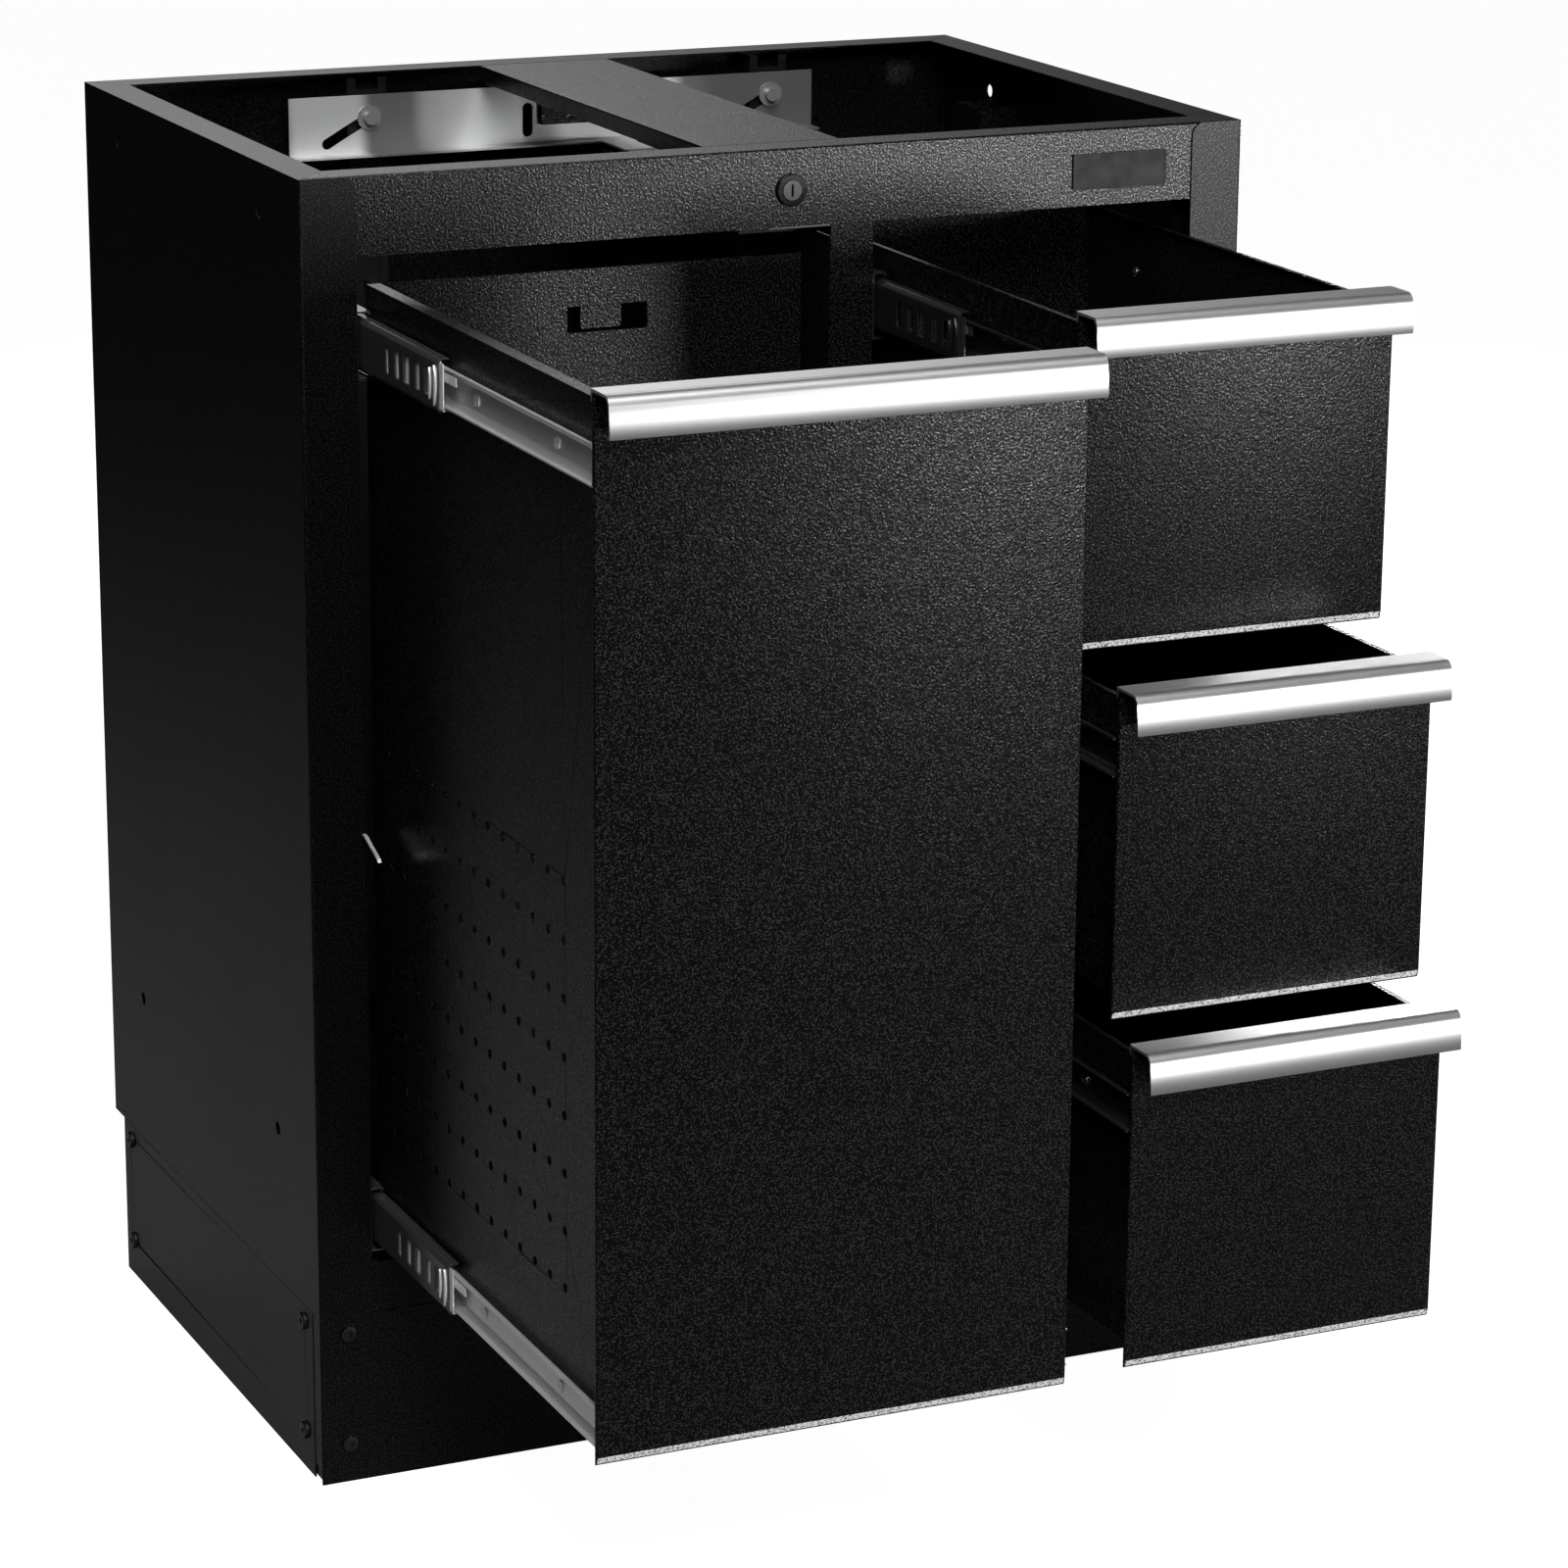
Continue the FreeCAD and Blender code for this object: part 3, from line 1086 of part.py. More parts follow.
def save_drawers():
    """Write the pieces that move with each drawer's front."""
    for number, unit in enumerate(DRAWERS, start=1):
        pieces = {
            "front": [front_panel(unit)],
            "handle": [handle_strip(unit)],
            "tray": [drawer_tray(unit)],
            "back": [drawer_back(unit)],
            "inner_rails": [inner_rail(*rail) for rail in unit_rails(unit)] + rail_fixings(unit),
        }
        for name, shapes in pieces.items():
            save("drawer_%d_%s" % (number, name), opened(shapes, unit.opened))


def save_lock():
    """Write the moving pieces of the lock."""
    save("lock_cylinder", [lock_cylinder()])
    save("lock_cam", [lock_cam()])
    save("lock_plate", [lock_plate()])
    for name, x, units in (("left", LOCK_AXES_X[0], [PULLOUT]), ("right", LOCK_AXES_X[1], DRAWERS)):
        save("lock_bar_" + name, [lock_bar(x, units)])
        save("lock_bolt_" + name, [lock_bolt(x)])


os.makedirs("parts", exist_ok=True)
save_cabinet()
save_slides()
save_pullout()
save_drawers()
save_lock()
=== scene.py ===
"""Looks of a tool base cabinet: pull-out, three drawers, slides and lock gear dressed over their solids."""

import json
import logging
import math
from dataclasses import dataclass
from enum import Enum

import bpy
import bmesh
from mathutils import Matrix, Vector


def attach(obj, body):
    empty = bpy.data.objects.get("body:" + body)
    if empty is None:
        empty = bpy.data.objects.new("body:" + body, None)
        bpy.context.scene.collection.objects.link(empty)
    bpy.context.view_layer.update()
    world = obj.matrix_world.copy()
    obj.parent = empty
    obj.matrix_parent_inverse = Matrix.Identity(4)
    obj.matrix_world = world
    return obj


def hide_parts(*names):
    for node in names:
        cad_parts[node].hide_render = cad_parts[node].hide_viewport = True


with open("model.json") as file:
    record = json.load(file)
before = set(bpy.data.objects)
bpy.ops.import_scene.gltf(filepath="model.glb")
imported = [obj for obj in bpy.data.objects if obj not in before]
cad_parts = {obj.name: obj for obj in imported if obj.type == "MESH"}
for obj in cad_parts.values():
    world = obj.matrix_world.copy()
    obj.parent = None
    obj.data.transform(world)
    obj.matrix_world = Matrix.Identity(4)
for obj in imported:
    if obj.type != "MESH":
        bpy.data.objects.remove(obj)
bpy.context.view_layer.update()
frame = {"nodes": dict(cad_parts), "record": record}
LOG = logging.getLogger("cabinet")

Point = tuple[float, float]
Vec3 = tuple[float, float, float]
Outline = list[Point]
Placed = tuple[Vec3, Vec3]
Socket = bpy.types.NodeSocket
Mesh = bpy.types.Mesh
Shape = bmesh.types.BMesh
Material = bpy.types.Material
Inputs = dict[str | int, object]
WHITE = (1.0, 1.0, 1.0, 1.0)
# Places of the colours among the sockets of a mixing node.
MIX_FIRST, MIX_LAST, MIX_RESULT = 6, 7, 2


class Slot(Enum):
    """Material slots of the record that the pieces take their finish from."""

    TEXTURED = "textured_black"
    SATIN = "satin_black"
    HANDLE = "handle_aluminium"
    ZINC = "zinc"
    DARK_SLIDE = "dark_slide"
    BOLT = "bolt_steel"
    SCREW = "black_screw"
    COLUMN = "lock_column"
    BADGE = "badge"
    LOCK_BODY = "lock_black"
    LOCK_FACE = "lock_face"


class Drive(Enum):
    """Recess in a screw's head."""

    HEXAGON = 6
    CROSS = 4


class Brush(Enum):
    """Stretch of the brushed lines of a metal on the three coordinates."""

    EVEN = (1.0, 1.0, 1.0)
    LEVEL = (0.05, 0.05, 1.0)
    ACROSS = (0.03, 1.0, 1.0)
    DEEP = (1.0, 0.03, 1.0)
    UPRIGHT = (1.0, 1.0, 0.1)


def add_node(tree: bpy.types.NodeTree, kind: str, inputs: Inputs | None = None,
             **settings: str) -> bpy.types.Node:
    """Add a node to a tree.

    Args:
        tree: The tree.
        kind: Type of the node.
        inputs: Value of each input, or the socket that feeds it.
        settings: The node's own settings.

    Returns:
        The node.
    """
    made = tree.nodes.new(kind)
    for name, value in settings.items():
        setattr(made, name, value)
    for place, value in (inputs or {}).items():
        if isinstance(value, Socket):
            tree.links.new(value, made.inputs[place])
        else:
            made.inputs[place].default_value = value
    return made


class Shading:
    """Node tree of one material, built node by node."""

    def __init__(self, name: str) -> None:
        """Start an empty material.

        Args:
            name: Name of the material.
        """
        self.material = bpy.data.materials.new(name)
        self.material.use_nodes = True
        self.tree = self.material.node_tree
        self.tree.nodes.clear()
        self.bsdf = self.add("ShaderNodeBsdfPrincipled")
        self.add("ShaderNodeOutputMaterial", {"Surface": self.bsdf.outputs["BSDF"]})
        self.place = self.add("ShaderNodeTexCoord").outputs["Object"]

    def add(self, kind: str, inputs: Inputs | None = None, **settings: str) -> bpy.types.Node:
        """Add a node with its inputs and settings."""
        return add_node(self.tree, kind, inputs, **settings)

    def set(self, **values: float | tuple[float, ...]) -> None:
        """Set sockets of the shader, with underscores for the spaces of their names."""
        for name, value in values.items():
            self.bsdf.inputs[name.replace("_", " ")].default_value = value

    def noise(self, scale: float, detail: float = 2.0, rough: float = 0.5,
              stretch: Vec3 = (1.0, 1.0, 1.0)) -> Socket:
        """Noise on object coordinates.

        Args:
            scale: Cells to the metre.
            detail: Octaves.
            rough: Strength of the finer octaves.
            stretch: Factors on the three coordinates.

        Returns:
            The factor socket.
        """
        mapping = self.add("ShaderNodeMapping", {"Vector": self.place, "Scale": stretch})
        inputs = {"Vector": mapping.outputs["Vector"], "Scale": scale, "Detail": detail, "Roughness": rough}
        return self.add("ShaderNodeTexNoise", inputs).outputs["Fac"]

    def brushed(self, brush: Brush) -> Socket:
        """Fine lines of a brushed metal."""
        return self.noise(900.0, detail=3.0, rough=0.7, stretch=brush.value)

    def ramp(self, source: Socket, limits: Point, values: Point = (0.0, 1.0)) -> Socket:
        """Map a factor between two limits to two values, smoothly and clamped."""
        ends = dict(zip(("From Min", "From Max", "To Min", "To Max"), (*limits, *values)))
        node = self.add("ShaderNodeMapRange", {"Value": source, **ends}, interpolation_type="SMOOTHSTEP")
        return node.outputs["Result"]

    def mix(self, factor: Socket, first: Vec3, last: Vec3 | Socket) -> Socket:
        """Colour between two colours by a factor; the last one may come from a socket."""
        last = (*last, 1.0) if isinstance(last, tuple) else last
        inputs = {"Factor": factor, MIX_FIRST: (*first, 1.0), MIX_LAST: last}
        return self.add("ShaderNodeMix", inputs, data_type="RGBA").outputs[MIX_RESULT]

    def stray(self, source: Socket, limits: Point, middle: float, spread: float) -> Socket:
        """Value that strays to both sides of a middle by a spread."""
        return self.ramp(source, limits, (middle - spread, middle + spread))

    def axis(self, letter: str) -> Socket:
        """One of the object's own coordinates."""
        return self.add("ShaderNodeSeparateXYZ", {"Vector": self.place}).outputs[letter]

    def maths(self, operation: str, first: Socket, last: Socket | float) -> Socket:
        """One operation on two values."""
        return self.add("ShaderNodeMath", {0: first, 1: last}, operation=operation).outputs[0]

    def bump(self, height: Socket, distance: float) -> None:
        """Bump the surface by a height."""
        node = self.add("ShaderNodeBump", {"Height": height, "Strength": 1.0, "Distance": distance})
        self.drive("Normal", node.outputs["Normal"])

    def drive(self, name: str, source: Socket) -> None:
        """Link a source to a socket of the shader."""
        self.tree.links.new(source, self.bsdf.inputs[name])


# Limits that hold most values of a noise.
MOST = (0.3, 0.7)


@dataclass(frozen=True)
class PowderCoat:
    """Black powder coat: an orange-peel of a given grain, with fine bright flecks."""

    name: str
    colour: Vec3
    roughness: float
    grain: float
    relief: float
    speckle: float
    gloss: float = 0.18
    rough_spread: float = 0.012
    fleck_scale: float = 1.3
    fleck_light: float = 0.0125

    def build(self) -> Material:
        """Make the material."""
        shading = Shading(self.name)
        cloud = shading.noise(5.0, detail=3.0, rough=0.6)
        peel = shading.noise(self.grain, detail=1.5)
        fleck = shading.noise(self.grain * self.fleck_scale, detail=0.0)
        shading.bump(shading.ramp(peel, MOST), self.relief)
        light = tuple(value + self.fleck_light * self.speckle for value in self.colour)
        dark = tuple(value * (1.0 - 0.6 * self.speckle) for value in self.colour)
        dull, bright = self.gloss * (1.0 - 0.45 * self.speckle), self.gloss * (1.0 + 1.5 * self.speckle)
        shading.drive("Base Color", shading.mix(shading.ramp(fleck, (0.54, 0.66)), dark, light))
        shading.drive("Roughness", shading.stray(cloud, MOST, self.roughness, self.rough_spread))
        shading.drive("Specular IOR Level", shading.ramp(fleck, (0.5, 0.68), (dull, bright)))
        shading.set(Metallic=0.0)
        return shading.material


@dataclass(frozen=True)
class BrushedMetal:
    """Metal with fine brushed lines in one direction and faint stains."""

    name: str
    colour: Vec3
    roughness: float
    brush: Brush
    stain: float
    metallic: float = 1.0
    streak: float = 0.0
    line_share: float = 0.45

    def stained(self) -> Vec3:
        """Darkest colour."""
        return tuple(value * (1.0 - self.stain) for value in self.colour)

    def tint(self, shading: Shading, lines: Socket) -> Socket:
        """Colour of the metal, darkened by stains along its lines."""
        cloud = shading.noise(26.0, detail=4.0, rough=0.65)
        shade = shading.maths("ADD", shading.maths("MULTIPLY", lines, self.line_share),
                              shading.maths("MULTIPLY", cloud, 1.0 - self.line_share))
        return shading.mix(shading.ramp(shade, (0.3, 0.66)), self.stained(), self.colour)

    def build(self) -> Material:
        """Make the material."""
        shading = Shading(self.name)
        lines = shading.brushed(self.brush)
        shading.drive("Base Color", self.tint(shading, lines))
        shading.drive("Roughness", shading.stray(lines, (0.25, 0.75), self.roughness, self.streak))
        shading.set(Metallic=self.metallic, Specular_IOR_Level=0.5)
        return shading.material


@dataclass(frozen=True)
class PlateMetal(BrushedMetal):
    """Metal of the lock plate: wide bright and dark bands, and the part behind the front rail painted dark as
    painted shade.
    """

    # Painted shade under the front rail: the plate's front part, up to a place along y, is coloured dark,
    # with a soft edge.
    painted_shade_before: float = 0.38
    fade: float = 0.004
    dark: Vec3 = (0.006, 0.006, 0.006)

    def tint(self, shading: Shading, lines: Socket) -> Socket:
        """Colour of the metal in its bands, with painted shade on the part behind the front rail."""
        bands = shading.noise(13.0, detail=1.0, rough=0.4, stretch=(1.0, 0.2, 0.4))
        base = shading.mix(shading.ramp(bands, (0.42, 0.56)), self.stained(), self.colour)
        # Painted shade: the front part of the plate, under the front rail, turns to the dark colour.
        behind = shading.ramp(shading.axis("Y"), (self.painted_shade_before - self.fade, self.painted_shade_before))
        return shading.mix(behind, self.dark, base)


@dataclass(frozen=True)
class CrownedStrip:
    """Satin aluminium of a handle strip, whose face is shaded as a slightly crowned one, with its top painted
    lighter than its face as painted light, in metres.
    """

    top: float
    # Painted light: the top of the strip takes the upper colour and its face the lower one.
    upper: Vec3 = (0.78, 0.78, 0.785)
    lower: Vec3 = (0.40, 0.402, 0.406)
    roughness: float = 0.36
    rough_spread: float = 0.01
    middle: float = 0.0125
    crown: float = 9.0
    fade: Point = (0.007, 0.0005)

    def build(self) -> Material:
        """Make the material."""
        shading = Shading(f"handle_strip_{round(self.top * 1000)}")
        height = shading.axis("Z")
        lines = shading.brushed(Brush.ACROSS)
        offset = shading.maths("SUBTRACT", height, self.top - self.middle)
        bow = shading.maths("MULTIPLY", shading.maths("MULTIPLY", offset, offset), -self.crown)
        shading.bump(bow, 1.0)
        # Painted light: the colour turns from the face's to the top's over the last millimetres below the
        # top.
        tint = shading.ramp(height, tuple(self.top - drop for drop in self.fade))
        shading.drive("Base Color", shading.mix(tint, self.lower, self.upper))
        shading.drive("Roughness", shading.stray(lines, (0.25, 0.75), self.roughness, self.rough_spread))
        shading.set(Metallic=1.0, Specular_IOR_Level=0.5)
        return shading.material


@dataclass(frozen=True)
class MouldedGloss:
    """Even dark gloss of a bare plate, with a very fine grain."""

    name: str
    colour: Vec3
    roughness: float
    gloss: float
    shade: float = 0.82
    rough_spread: Point = (-0.04, 0.05)
    grain: float = 2600.0
    relief: float = 0.00001

    def build(self) -> Material:
        """Make the material."""
        shading = Shading(self.name)
        cloud = shading.noise(60.0, detail=3.0, rough=0.6)
        dark = tuple(value * self.shade for value in self.colour)
        shading.drive("Base Color", shading.mix(shading.ramp(cloud, MOST), dark, self.colour))
        rough = tuple(self.roughness + stray for stray in self.rough_spread)
        shading.drive("Roughness", shading.ramp(cloud, MOST, rough))
        shading.bump(shading.noise(self.grain, detail=1.0), self.relief)
        shading.set(Metallic=0.0, Specular_IOR_Level=self.gloss)
        return shading.material


@dataclass(frozen=True)
class PaintedReflectionStrip:
    """Strip along a bevelled edge with a painted reflection: pale grey with dark and bright flecks, and a
    painted glow on the bright flecks.
    """

    name: str
    dark: Vec3 = (0.10, 0.10, 0.10)
    light: Vec3 = (0.6, 0.6, 0.6)
    glow: float = 0.16

    def build(self) -> Material:
        """Make the material."""
        shading = Shading(self.name)
        fleck = shading.noise(700.0, rough=0.6)
        # Painted reflection: the pale flecked colour and the emission on its bright flecks stand in for the
        # floor reflected in the bevel; the flecks themselves are the coat's grain.
        shading.drive("Base Color", shading.mix(shading.ramp(fleck, (0.34, 0.56)), self.dark, self.light))
        shading.drive("Emission Strength", shading.ramp(fleck, (0.34, 0.6), (0.0, self.glow)))
        shading.set(Metallic=0.0, Roughness=0.5, Specular_IOR_Level=0.5, Emission_Color=WHITE)
        return shading.material


Finish = PowderCoat | BrushedMetal | MouldedGloss
FINISHES: dict[Slot, Finish] = {
    Slot.TEXTURED: PowderCoat("textured_coat", (0.0018, 0.0018, 0.0019), 0.27, 640.0, 0.00006, 0.8),
    Slot.SATIN: PowderCoat("satin_coat", (0.0016, 0.0016, 0.0017), 0.30, 640.0, 0.00001, 0.45, gloss=0.13),
    Slot.SCREW: PowderCoat("black_oxide", (0.008, 0.008, 0.008), 0.30, 2200.0, 0.00001, 0.3),
    Slot.COLUMN: PowderCoat("column_coat", (0.006, 0.006, 0.006), 0.36, 1500.0, 0.00003, 0.25),
    Slot.HANDLE: BrushedMetal("satin_aluminium", (0.60, 0.605, 0.61), 0.42, Brush.ACROSS, 0.01, streak=0.01),
    Slot.ZINC: BrushedMetal("bright_zinc", (0.74, 0.745, 0.75), 0.30, Brush.LEVEL, 0.04, 0.72),
    Slot.DARK_SLIDE: BrushedMetal("dark_zinc", (0.07, 0.07, 0.074), 0.28, Brush.DEEP, 0.2, 0.9, 0.03),
    Slot.BOLT: BrushedMetal("turned_steel", (0.72, 0.72, 0.73), 0.24, Brush.EVEN, 0.1, streak=0.02),
    Slot.LOCK_FACE: BrushedMetal("lock_nickel", (0.035, 0.035, 0.036), 0.34, Brush.UPRIGHT, 0.2, streak=0.03),
    Slot.BADGE: MouldedGloss("bare_badge", (0.004, 0.004, 0.0042), 0.34, 0.09),
    Slot.LOCK_BODY: MouldedGloss("lock_black", (0.002, 0.002, 0.002), 0.20, 0.10),
}
PLATE_ZINC = PlateMetal("plate_zinc", (0.62, 0.625, 0.63), 0.36, Brush.LEVEL, 0.75, 0.6)
# Zinc darkened as painted shade, for the pull-out's outer rails and the webs of its intermediate members.
SHADED_ZINC = BrushedMetal("shaded_zinc", (0.10, 0.10, 0.103), 0.26, Brush.LEVEL, 0.05, 0.8)
BRIGHT_TIN = BrushedMetal("bright_tin", (0.78, 0.78, 0.785), 0.3, Brush.EVEN, 0.05, 0.35)
DULL_BOLT = BrushedMetal("dull_bolt", (0.26, 0.26, 0.265), 0.24, Brush.EVEN, 0.1, 0.5)
# The lock plate carries painted shade under the front rail, and the pull-out's outer rails take zinc darkened
# as painted shade.
NODE_FINISHES = {"lock_plate": PLATE_ZINC, "pullout_outer_rails": SHADED_ZINC, "lock_bolt_left": DULL_BOLT,
                 "lock_bolt_right": DULL_BOLT}
SOFT_NODES = ("top_front_rail", "left_side_panel", "right_side_panel", "back_panel", "top_cross_channel",
              "centre_divider", "bottom_panel", "plinth_front", "plinth_left", "plinth_right", "plinth_rear",
              "pullout_left_wall", "pullout_right_wall", "pullout_back_wall")
SOFT_EDGE = 0.00055
WELD_DISTANCE = 0.000002


class Workshop:
    """Makes meshes into finished pieces: a material, smooth shading, a body to ride on, nodes replaced."""

    def __init__(self) -> None:
        """Build every finish once."""
        self.materials = {slot: finish.build() for slot, finish in FINISHES.items()}
        self.special = {finish: finish.build() for finish in (PLATE_ZINC, SHADED_ZINC, BRIGHT_TIN, DULL_BOLT)}
        # The foot strips take a painted reflection of the floor, with a painted glow.
        self.foot_reflection_material = PaintedReflectionStrip("foot_painted_reflection").build()

    def dress_nodes(self) -> None:
        """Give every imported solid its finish, and the folded sheets a soft edge."""
        slots = {part["node"]: part["material_slot"] for part in frame["record"]["subparts"]}
        for name, node in frame["nodes"].items():
            material = self.materials[Slot(slots[name])]
            if name in NODE_FINISHES:
                material = self.special[NODE_FINISHES[name]]
            for holder in node.material_slots:
                holder.material = material
            if not node.material_slots:
                node.data.materials.append(material)
            if name in SOFT_NODES:
                weld = node.modifiers.new("weld", "WELD")
                weld.merge_threshold = WELD_DISTANCE
                soft = node.modifiers.new("soft_edges", "BEVEL")
                soft.width, soft.segments, soft.limit_method = SOFT_EDGE, 2, "ANGLE"
                soft.angle_limit = math.radians(40.0)
                soft.harden_normals = False

    def finish(self, name: str, mesh: Mesh, slot: Slot, body: str, stands_for: tuple[str, ...] = (),
               smooth: float = 35.0, material: Material | None = None) -> None:
        """Turn a mesh into a finished piece.

        Args:
            name: Name of the piece.
            mesh: Its mesh, in the row's frame, in metres.
            slot: Slot of its finish.
            body: Body that it rides on.
            stands_for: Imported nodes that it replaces.
            smooth: Largest angle between faces that are shaded as one, in degrees.
            material: Material instead of the slot's own.
        """
        piece = in_scene(name, mesh)
        mesh.materials.clear()
        mesh.materials.append(material or self.materials[slot])
        shade_by_angle(mesh, smooth)
        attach(piece, body)
        if stands_for:
            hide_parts(*stands_for)
        LOG.info("%s: %d faces on %s", name, len(mesh.polygons), body)


def in_scene(name: str, data: bpy.types.ID) -> bpy.types.Object:
    """New object of some data, in the scene's collection."""
    holder = bpy.data.objects.new(name, data)
    bpy.context.scene.collection.objects.link(holder)
    return holder


def plain_mesh(holder: bpy.types.Object, name: str) -> Mesh:
    """Mesh of an object with its modifiers applied."""
    evaluated = holder.evaluated_get(bpy.context.evaluated_depsgraph_get())
    mesh = bpy.data.meshes.new_from_object(evaluated)
    mesh.name = name
    return mesh


def shade_by_angle(mesh: Mesh, angle: float) -> None:
    """Shade a mesh smooth with its sharp edges kept.

    Args:
        mesh: The mesh.
        angle: Largest angle between faces that are shaded as one, in degrees.
    """
    shape = bmesh.new()
    shape.from_mesh(mesh)
    for face in shape.faces:
        face.smooth = True
    for edge in shape.edges:
        edge.smooth = len(edge.link_faces) == 2 and edge.calc_face_angle(0.0) < math.radians(angle)
    shape.to_mesh(mesh)
    shape.free()


def mm(*values: float) -> tuple[float, ...]:
    """Millimetres as metres."""
    return tuple(value / 1000 for value in values)


def mesh_of(shape: Shape, name: str, bevel: float = 0.0, segments: int = 2) -> Mesh:
    """Close a working mesh: merge its doubles, point its faces outwards and round its sharp edges.

    Args:
        shape: Working mesh, which is freed.
        name: Name of the result.
        bevel: Width of the rounding, in metres.
        segments: Faces across the rounding.

    Returns:
        The mesh.
    """
    bmesh.ops.remove_doubles(shape, verts=shape.verts, dist=MERGE_DISTANCE)
    bmesh.ops.recalc_face_normals(shape, faces=shape.faces)
    if bevel:
        sharp = [edge for edge in shape.edges if len(edge.link_faces) == 2 and edge.calc_face_angle() > SHARP]
        bmesh.ops.bevel(shape, geom=sharp, offset=bevel, segments=segments, profile=0.5, affect="EDGES",
                        clamp_overlap=True)
        bmesh.ops.recalc_face_normals(shape, faces=shape.faces)
    mesh = bpy.data.meshes.new(name)
    shape.to_mesh(mesh)
    shape.free()
    return mesh


def add_prism(shape: Shape, outline: list[Vector], push: Vector) -> None:
    """Add a closed solid: an outline pushed along a direction."""
    low = [shape.verts.new(point) for point in outline]
    high = [shape.verts.new(point + push) for point in outline]
    shape.faces.new(low)
    shape.faces.new(high)
    count = len(outline)
    for i in range(count):
        j = (i + 1) % count
        shape.faces.new((low[i], low[j], high[j], high[i]))


# Angles of a corner that counts as straight and of an edge that counts as sharp, in radians.
STRAIGHT, SHARP = 3.1, 0.6
MERGE_DISTANCE = 1e-6


def rounded(points: Outline, radii: list[float], steps: int = 5) -> Outline:
    """Closed outline with its corners rounded by arcs.

    Args:
        points: Corners in order.
        radii: Radius at each corner, zero for a sharp one.
        steps: Points along each arc less one.

    Returns:
        The finer outline.
    """
    result: Outline = []
    count = len(points)
    for i, (point, radius) in enumerate(zip(points, radii)):
        here = Vector(point)
        before = (Vector(points[i - 1]) - here).normalized()
        after = (Vector(points[(i + 1) % count]) - here).normalized()
        turn = before.angle(after)
        if radius <= 0 or turn > STRAIGHT:
            result.append(point)
            continue
        reach = radius / math.tan(turn / 2)
        start, end = here + before * reach, here + after * reach
        centre = here + (before + after).normalized() * (radius / math.sin(turn / 2))
        a, b = start - centre, end - centre
        sweep = a.angle_signed(b)
        for k in range(steps + 1):
            spot = centre + Matrix.Rotation(-sweep * k / steps, 2) @ a
            result.append((spot.x, spot.y))
    return result


def strip_outline(path: Outline, thickness: float, radius: float, steps: int = 4) -> Outline:
    """Outline of a folded sheet that runs along a path and has rounded folds and ends.

    Args:
        path: Corners of the sheet's one face.
        thickness: Sheet thickness, to the left of the path.
        radius: Outer radius of the folds.
        steps: Fineness of the folds.

    Returns:
        The closed outline.
    """
    spots = [Vector(point) for point in path]
    least_cosine = 0.2
    offset: list[Vector] = []
    for i, spot in enumerate(spots):
        ahead = (spots[min(i + 1, len(spots) - 1)] - spot) if i < len(spots) - 1 else spot - spots[i - 1]
        behind = (spot - spots[i - 1]) if i > 0 else ahead
        a, b = behind.normalized(), ahead.normalized()
        na, nb = Vector((-a.y, a.x)), Vector((-b.y, b.x))
        across = (na + nb).normalized()
        offset.append(spot + across * (thickness / max(least_cosine, across.dot(na))))
    end_radius, least_radius = thickness * 0.3, 0.15
    face_radii, rear_radii = [], []
    for i in range(len(spots)):
        if i in (0, len(spots) - 1):
            face_radii.append(end_radius)
            rear_radii.append(end_radius)
            continue
        a, b = spots[i] - spots[i - 1], spots[i + 1] - spots[i]
        left = a.x * b.y - a.y * b.x > 0
        small = max(least_radius, radius - thickness)
        face_radii.append(radius if left else small)
        rear_radii.append(small if left else radius)
    outline = [tuple(spot) for spot in spots] + [tuple(spot) for spot in reversed(offset)]
    return rounded(outline, face_radii + list(reversed(rear_radii)), steps)


class PointTree:
    """Geometry Nodes tree that puts one thing on every point of a mesh, turned to the point's direction."""

    sizes: dict[str, float] = {}

    def __init__(self, name: str) -> None:
        """Build the tree with its named inputs.

        Args:
            name: Name of the tree.
        """
        self.tree = bpy.data.node_groups.new(name, "GeometryNodeTree")
        interface = self.tree.interface
        interface.new_socket("Points", in_out="INPUT", socket_type="NodeSocketGeometry")
        self.inputs: dict[str, str] = {}
        for label, value in self.sizes.items():
            socket = interface.new_socket(label, in_out="INPUT", socket_type="NodeSocketFloat")
            socket.default_value = value
            self.inputs[label] = socket.identifier
        socket = interface.new_socket("Finish", in_out="INPUT", socket_type="NodeSocketMaterial")
        self.inputs["Finish"] = socket.identifier
        interface.new_socket("Result", in_out="OUTPUT", socket_type="NodeSocketGeometry")
        self.source = self.node("NodeGroupInput")
        self.spread(self.thing())

    def node(self, kind: str, inputs: Inputs | None = None, **settings: str) -> bpy.types.Node:
        """Add a node with its inputs and settings."""
        return add_node(self.tree, kind, inputs, **settings)

    def thing(self) -> Socket:
        """Geometry that is put on every point."""
        raise NotImplementedError

    def spread(self, thing: Socket) -> None:
        """Put a thing on every point, make the copies real and paint them."""
        outward = self.node("GeometryNodeInputNamedAttribute", {"Name": "outward"}, data_type="FLOAT_VECTOR")
        align = self.node("FunctionNodeAlignRotationToVector", {"Vector": outward.outputs["Attribute"]},
                          axis="Z")
        place = self.node("GeometryNodeInstanceOnPoints", {"Points": self.source.outputs["Points"],
                                                           "Instance": thing,
                                                           "Rotation": align.outputs["Rotation"]})
        real = self.node("GeometryNodeRealizeInstances", {"Geometry": place.outputs["Instances"]})
        paint = self.node("GeometryNodeSetMaterial", {"Geometry": real.outputs["Geometry"],
                                                      "Material": self.source.outputs["Finish"]})
        self.node("NodeGroupOutput", {"Result": paint.outputs["Geometry"]})


